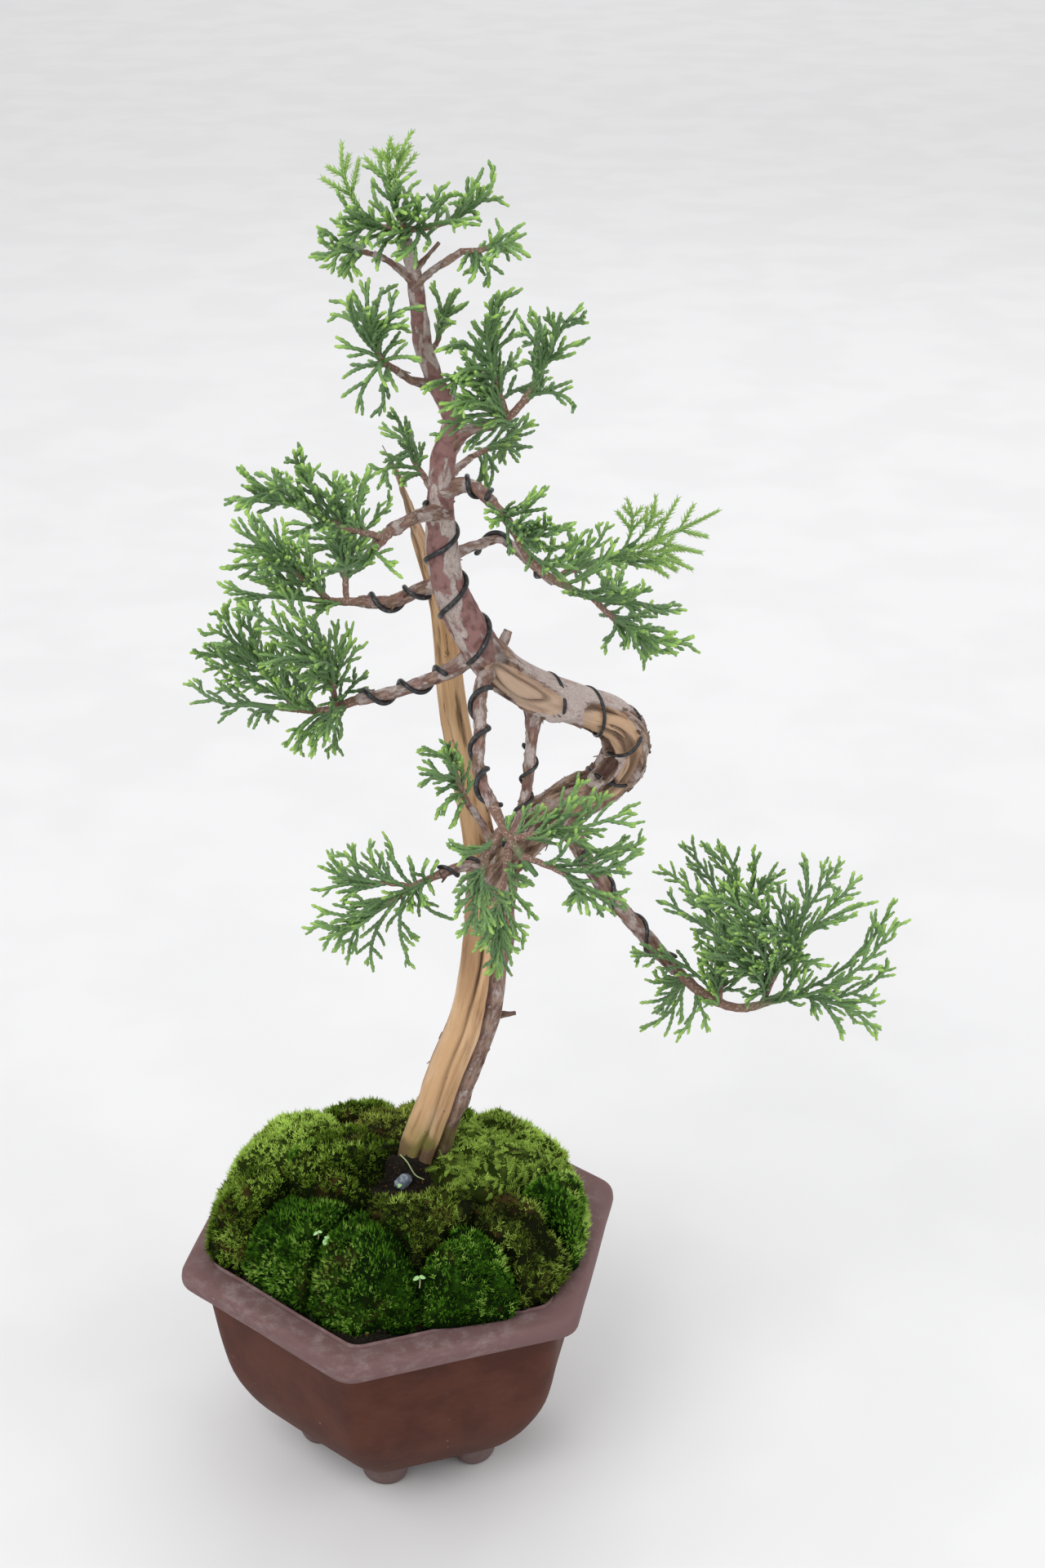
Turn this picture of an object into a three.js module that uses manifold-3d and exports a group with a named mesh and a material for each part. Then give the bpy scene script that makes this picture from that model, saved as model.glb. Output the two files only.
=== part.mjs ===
// Itoigawa juniper bonsai: a small wired juniper in a hexagonal clay pot on six cloud feet.
// Millimetres, +Z up. Everything is laid out about the pot's axis with z = 0 under the feet,
// and the whole group is then moved so that its origin is the middle of the box's underside.

import * as THREE from "three";
import Module from "manifold-3d";

const wasm = await Module();
wasm.setup();

const { lerp, clamp, degToRad } = THREE.MathUtils;
const THIRD = (2 * Math.PI) / 3;

// Air between two pieces that touch.
const GAP = 0.3;

// The pot: how far its corners reach, how far it is turned, and its walls from foot to rim.
// A profile row is height, reach of the corners from the axis, and rounding of the corners.
const POT_TURN = degToRad(-41.1);
const RIM_Z = 80;
const RIM_REACH = 75;
const MOUTH_REACH = 62.6;
const MOUTH_ROUNDING = 6;
const FLOOR_Z = 14;
const POT_OUTSIDE = [
  [8, 36, 9],
  [9.5, 40.5, 10],
  [14, 46.5, 11],
  [23, 54, 12],
  [35, 60.5, 12],
  [50, 64, 12],
  [69, 66.5, 10],
  [72, 70, 9],
  [73.2, 74, 8.5],
  [75, RIM_REACH, 8],
  [78, RIM_REACH, 8],
  [RIM_Z, 72.8, 8],
];
const POT_INSIDE = [
  [FLOOR_Z, 38, 6],
  [22, 47, 6],
  [35, 54, 6],
  [60, 59, 6],
  [78.8, MOUTH_REACH, MOUTH_ROUNDING],
  [RIM_Z + 1, MOUTH_REACH + 1.4, MOUTH_ROUNDING],
];
const DRAIN_R = 6;
const DRAIN_SIDES = 12;
const OUTSIDE_CORNER_POINTS = 4;
const INSIDE_CORNER_POINTS = 3;

// A cloud foot under each corner: height, half width along the wall, half depth across it.
const FOOT_CIRCLE = 32;
const FOOT_SIDES = 8;
const FOOT_RINGS = [
  [0, 6, 4.8],
  [1.4, 7.7, 6.1],
  [5.5, 8, 6.3],
  [11, 13.5, 7.6],
];

// The plastic net over the drain hole.
const NET = { half: 9.5, thick: 0.8, bar: 2, pitch: 5.4 };

// The heap of soil, as height over the share of the way out to the mouth, and the moss over it.
const WALL_GAP = 0.4;
const SOIL_BOTTOM = FLOOR_Z + GAP + NET.thick + GAP;
const SOIL_EDGE_Z = 77;
const SOIL_CROWN = 27;
const SOIL_FALL = 2.6;
const SOIL_RIM_SHARE = 0.98;
const MOSS_CROWN = 30;
const MOSS_FALL = 3.5;
const MOSS_EDGE = 1.06;
const MOSS_SHOULDER = 0.6;
const MOSS_CREVICE = 0.7;
const MOSS_SEAT = 0.9;
const MOSS_OVERHANG = 1.05;
const MOSS_SHORTEST_EDGE = 5;
const MOSS_LONGEST_EDGE = 15;
const MOSS_CORNER = 0.93;
const MOSS_OFF_TRUNK = 0.8;
const MOSS_ROUND_TRUNK = ["mid_left", "centre", "right_back", "back"];

// Moss cushions: middle x and y, how far it stands above the general mound, and its green.
const CUSHIONS = {
  left: [-50, -12, 0, 0x5f7d2a],
  back_left: [-40, 20, 0, 0x6f8c33],
  mid_left: [-22, -3, 1.2, 0x47692b],
  left_front: [-36, -32, -1, 0x2f6a1f],
  front: [-10, -46, 0, 0x2c611d],
  centre: [7, -30, 0.5, 0x4c5f25],
  front_right: [25, -48, 0, 0x3d6422],
  right_front: [43, -34, -0.5, 0x47581f],
  right: [54, -13, 0.5, 0x3b7420],
  right_back: [34, 2, 0.5, 0x5d8b37],
  back: [1, 29, 0, 0x5a5a2a],
  back_right: [39, 30, 0, 0x5f8a35],
  rear_left: [-17, 44, 0, 0x4f6c2a],
  rear_right: [14, 48, 0, 0x4a6f28],
};
// The patch of bare soil in front of the trunk and the stone chip that lies on it.
const CLEARING = { x: 1.5, y: -11, halfX: 8.5, halfY: 6.5 };
const CHIP = { x: 1, y: -10.5, halfX: 3.4, halfY: 2.4, halfZ: 2.6, turn: 0.6, tip: 0.4 };
const CHIP_SHOWS = 0.55;

// The woody plant. A route row is x, y, z and the radius of the wood there. The trunk isn't
// round, and swells by a share of its radius at most.
const TRUNK_SIDES = 8;
const TRUNK_STEP = 9;
const TRUNK_SWELL = 1.12;
const BURIED_STATIONS = 5;
const THICK_BRANCH = 3;
const THICK_BRANCH_SIDES = 6;
const THIN_BRANCH_SIDES = 5;
const BRANCH_STEP = 10;
const JIN_STEP = 15;
const TRUNK_ROUTE = [
  [0, 4, 78, 8.8],
  [3, 3, 93, 8.3],
  [7, 2, 109, 7.8],
  [13, 1, 127, 7.6],
  [18, 0, 144, 7.5],
  [24, 0, 161, 7.4],
  [28, 0, 183, 7.4],
  [30, 1, 205, 7.5],
  [34, 3, 217, 7.2],
  [42, 6, 226, 6.8],
  [53, 8, 234, 6.3],
  [65, 8, 242, 6.5],
  [72, 6, 254, 6.9],
  [68, 2, 265, 6.6],
  [55, -3, 273, 6.1],
  [41, -8, 281, 6.4],
  [32, -12, 290, 6.2],
  [24, -14, 303, 5.6],
  [19, -14, 315, 5],
  [17, -14, 328, 4.4],
  [17, -14, 342, 3.8],
  [18, -15, 354, 3.4],
  [21, -16, 366, 2.9],
  [16, -17, 377, 2.5],
  [13, -18, 387, 2.3],
  [12, -19, 396, 2.2],
  [11, -20, 407, 1.9],
  [9, -21, 417, 1.4],
];
const BRANCH_ROUTES = {
  jin: [
    [30, 3, 198, 6],
    [28, 7, 212, 5.4],
    [26, 9, 226, 4.8],
    [23, 10, 243, 4.5],
    [20, 11, 258, 4.4],
    [18, 12, 272, 4.3],
    [17, 13, 286, 4],
    [15, 14, 300, 3.4],
    [11, 15, 314, 2.8],
    [7, 16, 326, 2.1],
    [4, 17, 337, 1.3],
    [-1, 18, 347, 0.5],
  ],
  low_left: [
    [32, 2, 215, 3.4],
    [24, -6, 220, 2.4],
    [15, -12, 220, 2.2],
  ],
  low_right: [
    [53, 8, 231, 4],
    [59, 6, 218, 3.2],
    [68, 4, 204, 3],
    [79, 3, 190, 2.9],
    [89, 2, 178, 2.7],
  ],
  mid_left: [
    [27, -11, 293, 3.4],
    [19, -10, 287, 2.9],
    [10, -8, 282, 2.6],
    [1, -6, 278, 2.5],
    [-9, -4, 275, 2.3],
  ],
  upper_left: [
    [19, -13, 316, 3.2],
    [11, -8, 312, 2.8],
    [2, -3, 306, 2.6],
    [-8, 2, 304, 2.3],
  ],
  front_left: [
    [18, -15, 338, 3],
    [11, -24, 340, 2.6],
    [4, -38, 341, 2.4],
  ],
  front_hang: [
    [31, -13, 290, 3.6],
    [28, -24, 286, 3.1],
    [28, -36, 278, 2.8],
    [28, -48, 272, 2.6],
    [32, -60, 267, 2.5],
  ],
  mid_hang: [
    [44, -7, 274, 3.4],
    [43, -10, 265, 2.4],
    [42, -12, 254, 2.2],
    [40, -16, 243, 2.1],
    [36, -22, 234, 2],
  ],
  right_a: [
    [18, -15, 345, 3],
    [26, -18, 347, 2.6],
    [32, -24, 344, 2.3],
  ],
  right_b: [
    [18, -13, 324, 2.8],
    [26, -8, 325, 2.2],
    [34, -2, 325, 2],
    [41, 4, 317, 1.9],
    [49, 8, 308, 1.8],
  ],
  top_right: [
    [20, -15, 358, 2.8],
    [25, -18, 363, 2.3],
    [32, -22, 366, 2],
  ],
  top_back: [
    [18, -14, 346, 2],
    [21, -5, 347, 1.5],
    [25, 4, 348, 1.4],
  ],
  top_left_low: [
    [17, -14, 341, 2],
    [13, -8, 345, 1.4],
  ],
  top_left: [
    [15, -17, 376, 2],
    [10, -20, 378, 1.6],
    [6, -24, 382, 1.4],
  ],
  leader_right: [
    [14, -18, 382, 1.8],
    [15, -12, 384, 1.3],
  ],
  crown_right: [
    [11, -20, 404, 1.6],
    [16, -22, 409, 1.4],
    [24, -26, 415, 1.2],
  ],
  crown_left: [
    [11, -20, 406, 1.6],
    [5, -18, 410, 1.3],
    [0, -16, 412, 1.1],
  ],
  twig_mid: [
    [32, 2, 219, 2.2],
    [28, -6, 234, 1.5],
    [24, -9, 242, 1.3],
  ],
  stub_low: [
    [30, 0, 162, 1.6],
    [38, 2, 162, 0.9],
  ],
  stub_knob: [
    [32, -11, 290, 2.8],
    [36, -8, 299, 1.7],
  ],
};

// Training wire: the branch or trunk it winds round, the stretch of it, the turns there, the
// radius of the wire, and the angle at which it starts. It is drawn with a square section.
const WIRE_SIDES = 4;
const WIRE_SQUARE = 1.1;
const TRUNK_WIRE_STEPS = 9;
const BRANCH_WIRE_STEPS = 6;
const WIRE_ROUNDS = 40;
const WIRE_PUSH = 0.6;
const WIRES = {
  trunk_lower: { host: "trunk", start: 0.475, end: 0.62, turns: 4, r: 0.7, from: 200 },
  trunk_upper: { host: "trunk", start: 0.675, end: 0.8, turns: 3, r: 1, from: 240 },
  low_right: { host: "low_right", start: 0.2, end: 0.96, turns: 2.8, r: 0.8, from: 60 },
  low_left: { host: "low_left", start: 0.45, end: 1, turns: 1.3, r: 0.8, from: 10 },
  mid_left: { host: "mid_left", start: 0.25, end: 1, turns: 2.5, r: 1, from: 100 },
  upper_left: { host: "upper_left", start: 0.25, end: 0.96, turns: 1.8, r: 1, from: 40 },
  front_hang: { host: "front_hang", start: 0.18, end: 1, turns: 3, r: 1, from: 0 },
  mid_hang: { host: "mid_hang", start: 0.25, end: 1, turns: 3.2, r: 0.7, from: 150 },
  right_a: { host: "right_a", start: 0.35, end: 0.96, turns: 1.4, r: 0.9, from: 20 },
  right_b: { host: "right_b", start: 0.2, end: 1, turns: 2.6, r: 0.9, from: 20 },
};

// Foliage. Each spray grows on from the end of a branch: stems first, each as its radius at
// both ends and its points, and then the tip of every scale-leaved shoot.
const SPRAYS = {
  low_right: {
    stems: [
      [2.6, 1.3, [89, 2, 178], [99, 1, 169], [110, 0, 165], [120, -2, 169], [127, -3, 172],
        [138, -4, 170]],
      [1.6, 1, [103, 0, 168], [105, 8, 181], [108, 12, 188], [111, 15, 193]],
      [1.5, 1, [117, -1, 168], [120, -6, 181], [126, -8, 194]],
    ],
    tips: [
      [74, -12, 191], [79, -8, 172], [79, 6, 154], [90, -6, 158], [83, -14, 212],
      [89, -22, 220], [94, -26, 220], [85, 34, 198], [92, 38, 204], [98, 24, 212],
      [103, 16, 216], [107, -4, 213], [113, 14, 215], [122, 22, 201], [105, -24, 206],
      [112, -28, 208], [121, -26, 203], [123, 8, 210], [129, 4, 217], [142, 16, 207],
      [147, 6, 210], [147, -14, 211], [157, 2, 204], [156, -8, 201], [158, 8, 176],
      [153, -8, 175], [154, -4, 158], [133, -8, 167],
    ],
  },
  low_left: {
    stems: [
      [1.8, 1, [15, -12, 220], [7, -14, 217], [0, -15, 212], [-8, -16, 207]],
      [1.2, 0.9, [7, -14, 217], [-2, -12, 217], [-12, -8, 215]],
    ],
    tips: [
      [-7, 2, 225], [0, -8, 228], [-12, 6, 221], [-14, -14, 229], [-19, -2, 222],
      [-21, -18, 226], [-23, -8, 212], [-13, -28, 219], [12, -20, 229], [-25, -14, 204],
      [-22, -22, 214], [-21, -24, 204], [-18, -18, 196], [-14, -10, 189], [-7, -6, 184],
      [7, -22, 212], [11, -26, 217], [17, -16, 207],
    ],
  },
  twig_mid: {
    stems: [[1.3, 0.9, [24, -9, 242], [21, -12, 252], [19, -12, 259]]],
    tips: [
      [9, -16, 264], [16, -6, 260], [20, -18, 265], [22, -6, 257], [9, -4, 252],
      [9, -18, 253], [14, -12, 240], [17, -24, 248],
    ],
  },
  front_hang: {
    stems: [
      [2.3, 1.2, [32, -60, 267], [37, -70, 262], [44, -80, 256]],
      [1.5, 0.9, [37, -70, 262], [47, -74, 266], [57, -70, 260], [64, -66, 254]],
      [1.4, 0.9, [40, -76, 260], [51, -78, 256], [58, -72, 247]],
      [1.4, 0.9, [35, -66, 264], [30, -72, 257], [28, -72, 247]],
    ],
    tips: [
      [53, -84, 282], [64, -60, 272], [70, -72, 272], [75, -60, 257], [72, -82, 264],
      [69, -64, 248], [69, -78, 247], [65, -62, 237], [58, -84, 246], [52, -70, 242],
      [46, -62, 269], [20, -80, 265], [22, -76, 234], [26, -62, 230], [32, -84, 240],
      [21, -60, 241],
    ],
  },
  mid_hang: {
    stems: [[1.8, 0.9, [36, -22, 234], [35, -28, 227], [33, -32, 220], [33, -33, 212]]],
    tips: [
      [30, -32, 196], [35, -26, 196], [39, -38, 207], [39, -24, 204], [42, -34, 211],
      [43, -26, 214], [26, -30, 205], [29, -42, 211], [41, -40, 231],
    ],
  },
  mid_left: {
    stems: [
      [2.1, 1, [-9, -4, 275], [-19, -3, 271], [-28, -2, 271], [-37, 0, 271], [-43, 2, 271]],
      [1.4, 0.9, [-16, -3, 272], [-16, -10, 283], [-19, -12, 292]],
      [1.4, 0.9, [-28, -2, 271], [-36, 4, 279], [-41, 8, 285]],
    ],
    tips: [
      [-58, -6, 291], [-61, 8, 276], [-51, -12, 301], [-49, 2, 302], [-55, 14, 285],
      [-43, -10, 308], [-42, 8, 302], [-31, 0, 310], [-40, 18, 292], [-51, -18, 294],
      [-16, 4, 296], [-14, 14, 288], [-9, -2, 294], [-22, 18, 284], [-17, -16, 297],
      [-19, -30, 297], [-24, -20, 307], [-30, -14, 264], [-29, -2, 256], [-22, -20, 266],
      [-43, 10, 261], [-17, -26, 272],
    ],
  },
  upper_left: {
    stems: [
      [2.1, 1.1, [-8, 2, 304], [-17, 5, 303], [-29, 8, 303]],
      [1.4, 0.9, [-17, 5, 303], [-25, 2, 312], [-32, -2, 320]],
      [1.4, 0.9, [-12, 4, 303], [-13, 12, 312], [-15, 16, 321]],
    ],
    tips: [
      [-44, -6, 331], [-40, 4, 331], [-38, 12, 328], [-48, 0, 315], [-43, -12, 322],
      [-50, 10, 306], [-44, 18, 315], [-31, 20, 322], [-15, 14, 336], [-8, 20, 336],
      [-5, 8, 338], [1, 26, 326], [-22, -4, 300], [-32, -16, 321], [-1, 12, 320],
      [-12, 28, 319],
    ],
  },
  front_left: {
    stems: [
      [2.2, 1.2, [4, -38, 341], [-1, -50, 339], [-4, -56, 337]],
      [1.5, 0.9, [2, -44, 341], [-8, -56, 349], [-18, -62, 356], [-26, -64, 361]],
    ],
    tips: [
      [-33, -70, 369], [-37, -60, 358], [-29, -56, 364], [-23, -72, 370], [-16, -62, 368],
      [-19, -80, 371], [-10, -50, 362], [0, -60, 366], [-4, -76, 366], [-32, -74, 360],
      [6, -60, 339], [-11, -70, 344], [-17, -78, 353],
    ],
  },
  right_a: {
    stems: [
      [2.1, 1.2, [32, -24, 344], [38, -30, 338], [43, -34, 330], [52, -36, 324],
        [61, -38, 321], [72, -38, 320]],
      [1.4, 0.9, [60, -38, 321], [66, -36, 314], [72, -34, 310]],
    ],
    tips: [
      [31, -36, 343], [46, -36, 352], [45, -20, 337], [48, -46, 348], [54, -52, 348],
      [57, -34, 339], [66, -30, 334], [53, -60, 342], [63, -58, 337], [74, -42, 327],
      [70, -56, 331], [69, -22, 325], [84, -42, 318], [89, -30, 306], [83, -46, 310],
      [76, -38, 303], [75, -26, 296], [77, -24, 313],
    ],
  },
  right_b: {
    stems: [[1.7, 0.9, [49, 8, 308], [55, 10, 311], [66, 12, 314], [74, 14, 318]]],
    tips: [
      [71, 10, 333], [80, 20, 330], [98, 14, 328], [90, 6, 313], [89, 24, 312],
      [82, -4, 318], [66, 24, 321], [66, 22, 299], [55, 18, 319],
    ],
  },
  top_right: {
    stems: [
      [1.9, 1, [32, -22, 366], [38, -26, 371], [44, -28, 380], [46, -30, 387]],
      [1.4, 0.9, [36, -25, 369], [33, -25, 379], [31, -26, 388]],
    ],
    tips: [
      [38, -28, 406], [34, -18, 402], [31, -36, 401], [43, -22, 398], [27, -14, 388],
      [21, -24, 390], [40, -42, 398], [48, -34, 400], [54, -46, 404], [56, -30, 392],
      [46, -14, 383], [25, -36, 382], [25, -6, 378], [39, -8, 381], [23, -38, 376],
    ],
  },
  top_back: {
    stems: [[1.3, 0.9, [25, 4, 348], [31, 10, 349], [37, 14, 351]]],
    tips: [
      [44, 16, 354], [42, 24, 355], [39, 4, 354], [38, 26, 344], [31, 14, 337],
      [29, 4, 343], [31, 24, 340],
    ],
  },
  top_left_low: {
    stems: [[1.3, 0.9, [13, -8, 345], [9, -4, 350], [7, -2, 354]]],
    tips: [[3, -6, 366], [-1, 4, 357], [9, -14, 362], [-1, -14, 349], [-1, 2, 340]],
  },
  top_left: {
    stems: [[1.4, 0.9, [6, -24, 382], [2, -27, 386], [0, -28, 391], [-1, -28, 395]]],
    tips: [
      [-9, -26, 402], [-5, -38, 407], [-12, -18, 396], [-10, -32, 391], [-4, -14, 396],
      [0, -44, 405], [7, -38, 398], [-1, -22, 407], [-8, -22, 380], [-5, -30, 372],
      [2, -10, 401], [4, -42, 383],
    ],
  },
  leader_right: {
    stems: [[1.2, 0.9, [15, -12, 384], [17, -10, 387], [17, -10, 391]]],
    tips: [[15, -4, 401], [23, -14, 402], [24, -4, 395], [21, -22, 395]],
  },
  crown_right: {
    stems: [[1.2, 0.9, [24, -26, 415], [29, -28, 416], [35, -30, 418]]],
    tips: [
      [35, -22, 420], [39, -34, 422], [40, -20, 415], [42, -30, 415], [31, -24, 405],
      [31, -42, 417], [25, -14, 407], [27, -36, 410],
    ],
  },
  crown_left: {
    stems: [[1.1, 0.9, [0, -16, 412], [-5, -16, 413], [-9, -16, 413]]],
    tips: [
      [-15, -14, 416], [-13, -20, 411], [-10, -8, 404], [-8, -4, 418], [-10, -32, 418],
      [-4, -24, 408], [-5, 0, 413],
    ],
  },
  trunk: {
    stems: [
      [1.4, 1, [9, -21, 417], [8, -22, 422], [6, -22, 426]],
      [1.2, 0.9, [8, -21, 420], [15, -20, 420], [22, -18, 422], [28, -18, 426]],
      [1.2, 0.9, [8, -21, 420], [2, -22, 421], [-2, -22, 423]],
    ],
    tips: [
      [11, -20, 445], [6, -28, 445], [2, -14, 438], [-7, -24, 443], [13, -32, 431],
      [16, -12, 427], [33, -18, 434], [25, -30, 431], [27, -8, 427], [30, -24, 432],
      [26, -36, 425], [-7, -30, 431], [0, -12, 430], [-4, -38, 430], [-8, -28, 421],
      [11, -36, 437],
    ],
  },
};

// A stem's first station stands a little off the wood.
const STEM_SIDES = 4;
const STEM_STEP = 4.8;
const STEM_SET_OFF = 0.45;

// A shoot: its radius at the root and at the tip, how far it leans forward and bows, and how
// roots keep apart. Where it can't stay clear it bows more, turns its bow, or stays shorter.
const SHOOT_R = [1.15, 0.95];
const SHOOT_LEAN = 0.55;
const SHOOT_BOWS = [0.13, 0.28, 0.45];
const SHOOT_TURNS = [0, 1, -1, 2, -2];
const SHOOT_TURN = Math.PI / 4;
const SHOOT_SHARES = [1, 0.92, 0.84, 0.72, 0.6];
const SHOOT_ROOM = 0.15;
const ROOTS_TRIED = 12;
const ROOT_SPACING = 2.8;
const ROOT_CROWDED = 2.5;
const ROOT_COLLAR = 1.8;
const FACET_FACING = 0.45;
const FACET_FAR = 0.12;

// It forks once or twice, where it is long enough, into side shoots: their radius, their angle
// to it, and their length as a share of its own near its root and near its tip.
const FORKS = [
  { at: 0.5, over: 14.5 },
  { at: 0.74, over: 38 },
];
const FORK_STRETCH = 2;
const SIDE_R = 0.95;
const SIDE_ANGLE = degToRad(42);
const SIDE_SHARES = [0.48, 0.16];
const SIDE_LENGTHS = [4, 11];
const FIRST_SEED = 101;

const BARK = 0x8a6a58;
const CLAY = 0x5e4038;
const EARTH = 0x2b211b;
const LEAF = 0x3f7a3a;
const WIRE_GREY = 0x2c2d30;
const NET_BLACK = 0x1d1f1e;
const CHIP_BLUE = 0x6d7a86;

// Evenly seeded random draws.
function randomFrom(seed) {
  let state = seed >>> 0;
  return () => {
    state = (state + 0x6d2b79f5) >>> 0;
    let t = state;
    t = Math.imul(t ^ (t >>> 15), t | 1);
    t ^= t + Math.imul(t ^ (t >>> 7), t | 61);
    return ((t ^ (t >>> 14)) >>> 0) / 4294967296;
  };
}

const vec = (x, y, z) => new THREE.Vector3(x, y, z);

function solidFrom(position, index) {
  const vertProperties = new Float32Array(position);
  const triVerts = new Uint32Array(index);
  return new wasm.Manifold(new wasm.Mesh({ numProp: 3, vertProperties, triVerts }));
}

const fuse = (solids) => wasm.Manifold.union(solids);

// A closed solid through rings of points that run round the same way. Either end may be a
// single point instead of a ring.
function loft(rings) {
  const position = rings.flat().flatMap((p) => [p.x, p.y, p.z]);
  const index = [];
  let from = 0;
  rings.slice(1).forEach((ring, k) => {
    const below = rings[k].length;
    const above = ring.length;
    const n = Math.max(below, above);
    for (let i = 0; i < n; i += 1) {
      const next = (i + 1) % n;
      const a = from + (i % below);
      const b = from + (next % below);
      const c = from + below + (next % above);
      const d = from + below + (i % above);
      if (below > 1) index.push(a, b, c);
      if (above > 1) index.push(a, c, d);
    }
    from += below;
  });
  for (let i = 1; i < rings[0].length - 1; i += 1) index.push(0, i + 1, i);
  for (let i = 1; i < rings.at(-1).length - 1; i += 1) index.push(from, from + i, from + i + 1);
  return solidFrom(position, index);
}

// Points and radii along a smooth route of [x, y, z, radius] rows.
function stationsAlong(route, step) {
  const points = route.map(([x, y, z]) => vec(x, y, z));
  const curve = new THREE.CatmullRomCurve3(points, false, "catmullrom", 0.5);
  const count = Math.max(2, Math.round(curve.getLength() / step));
  return Array.from({ length: count + 1 }, (_, i) => {
    const t = curve.getUtoTmapping(i / count);
    const place = t * (route.length - 1);
    const k = Math.min(Math.floor(place), route.length - 2);
    const r = lerp(route[k][3], route[k + 1][3], place - k);
    return { p: curve.getPoint(t), t: curve.getTangent(t), r };
  });
}

// Carries one sideways direction along the stations without twist.
function framed(stations) {
  let side = Math.abs(stations[0].t.x) > 0.9 ? vec(0, 1, 0) : vec(1, 0, 0);
  return stations.map((s) => {
    side = side.clone().addScaledVector(s.t, -side.dot(s.t)).normalize();
    return { ...s, side, up: s.t.clone().cross(side) };
  });
}

const aroundStation = (s, angle, r) =>
  s.p
    .clone()
    .addScaledVector(s.side, r * Math.cos(angle))
    .addScaledVector(s.up, r * Math.sin(angle));

// Rings round the stations. The section may vary with the angle and the share of the length.
function tubeRings(stations, sides, section = () => 1, grow = 0) {
  return framed(stations).map((s, k) =>
    Array.from({ length: sides }, (_, i) => {
      const angle = (i / sides) * 2 * Math.PI;
      const share = k / (stations.length - 1);
      return aroundStation(s, angle, s.r * section(angle, share) + grow);
    }),
  );
}

const tube = (...spec) => loft(tubeRings(...spec));

// A hexagonal outline with rounded corners, with some points on each corner's arc.
function hexRing(reach, rounding, z, perCorner) {
  const ring = [];
  for (let corner = 0; corner < 6; corner += 1) {
    const middle = POT_TURN + (corner * Math.PI) / 3;
    for (let i = 0; i < perCorner; i += 1) {
      const angle = middle + degToRad(60) * (i / (perCorner - 1) - 0.5);
      const x = (reach - rounding) * Math.cos(middle) + rounding * Math.cos(angle);
      const y = (reach - rounding) * Math.sin(middle) + rounding * Math.sin(angle);
      ring.push(vec(x, y, z));
    }
  }
  return ring;
}

const hexLoft = (rows, perCorner, grow = 0) =>
  loft(rows.map(([z, reach, rounding]) => hexRing(reach + grow, rounding, z, perCorner)));

// How far out a place is: 0 on the axis, 1 at the edge of the mouth.
function shareOut(x, y) {
  const sector = Math.PI / 3;
  const turned = Math.atan2(y, x) - POT_TURN;
  const off = turned - Math.round(turned / sector) * sector;
  const flat = (MOUTH_REACH - MOUTH_ROUNDING) * Math.cos(sector / 2) + MOUTH_ROUNDING;
  const edge = Math.min(MOUTH_REACH, flat / Math.cos(sector / 2 - Math.abs(off)));
  return Math.hypot(x, y) / edge;
}

const soilTop = (share) => SOIL_EDGE_Z + SOIL_CROWN * (1 - Math.min(share, 1) ** SOIL_FALL);

const mossUnderside = (share) => Math.max(soilTop(share) + MOSS_SEAT, RIM_Z + GAP + 0.05);

const mossTop = (share) =>
  RIM_Z + MOSS_CROWN * (1 - Math.min(share / MOSS_EDGE, 1) ** MOSS_FALL) ** MOSS_SHOULDER;

function ellipseRing(x, y, z, halfX, halfY, count, turn) {
  return Array.from({ length: count }, (_, i) => {
    const angle = (i / count) * 2 * Math.PI;
    const along = halfX * Math.cos(angle);
    const across = halfY * Math.sin(angle);
    return vec(
      x + along * Math.cos(turn) - across * Math.sin(turn),
      y + along * Math.sin(turn) + across * Math.cos(turn),
      z,
    );
  });
}

function makePot() {
  const outside = hexLoft(POT_OUTSIDE, OUTSIDE_CORNER_POINTS);
  const inside = hexLoft(POT_INSIDE, INSIDE_CORNER_POINTS);
  const feet = Array.from({ length: 6 }, (_, i) => {
    const angle = POT_TURN + (i * Math.PI) / 3;
    const x = FOOT_CIRCLE * Math.cos(angle);
    const y = FOOT_CIRCLE * Math.sin(angle);
    const rings = FOOT_RINGS.map(([z, half, deep]) =>
      ellipseRing(x, y, z, half, deep, FOOT_SIDES, angle + Math.PI / 2),
    );
    return loft(rings);
  });
  const drainRing = (z) => ellipseRing(0, 0, z, DRAIN_R, DRAIN_R, DRAIN_SIDES, 0);
  const drain = loft([drainRing(0), drainRing(FLOOR_Z + 1)]);
  return fuse([outside.subtract(inside), ...feet]).subtract(drain);
}

function box(x0, y0, z0, x1, y1, z1) {
  const ring = (z) => [vec(x0, y0, z), vec(x1, y0, z), vec(x1, y1, z), vec(x0, y1, z)];
  return loft([ring(z0), ring(z1)]);
}

function makeNet() {
  const low = FLOOR_Z + GAP;
  const plate = box(-NET.half, -NET.half, low, NET.half, NET.half, low + NET.thick);
  const hole = NET.pitch - NET.bar;
  const holes = [];
  for (let i = -1; i <= 1; i += 1) {
    for (let j = -1; j <= 1; j += 1) {
      const x = i * NET.pitch - hole / 2;
      const y = j * NET.pitch - hole / 2;
      holes.push(box(x, y, low - 1, x + hole, y + hole, low + NET.thick + 1));
    }
  }
  return plate.subtract(fuse(holes));
}

function soilBody(grow) {
  const wall = POT_INSIDE.filter(([z]) => z < SOIL_EDGE_Z).map(([z, reach, rounding]) => [
    Math.max(z, SOIL_BOTTOM - grow),
    reach - WALL_GAP + grow,
    rounding,
  ]);
  const dome = [1, 0.9, 0.75, 0.5, 0.25].map((share) => [
    soilTop(share) + grow,
    share * MOUTH_REACH * SOIL_RIM_SHARE + grow,
    share * MOUTH_ROUNDING,
  ]);
  return hexLoft([...wall, ...dome], 2);
}

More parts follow.
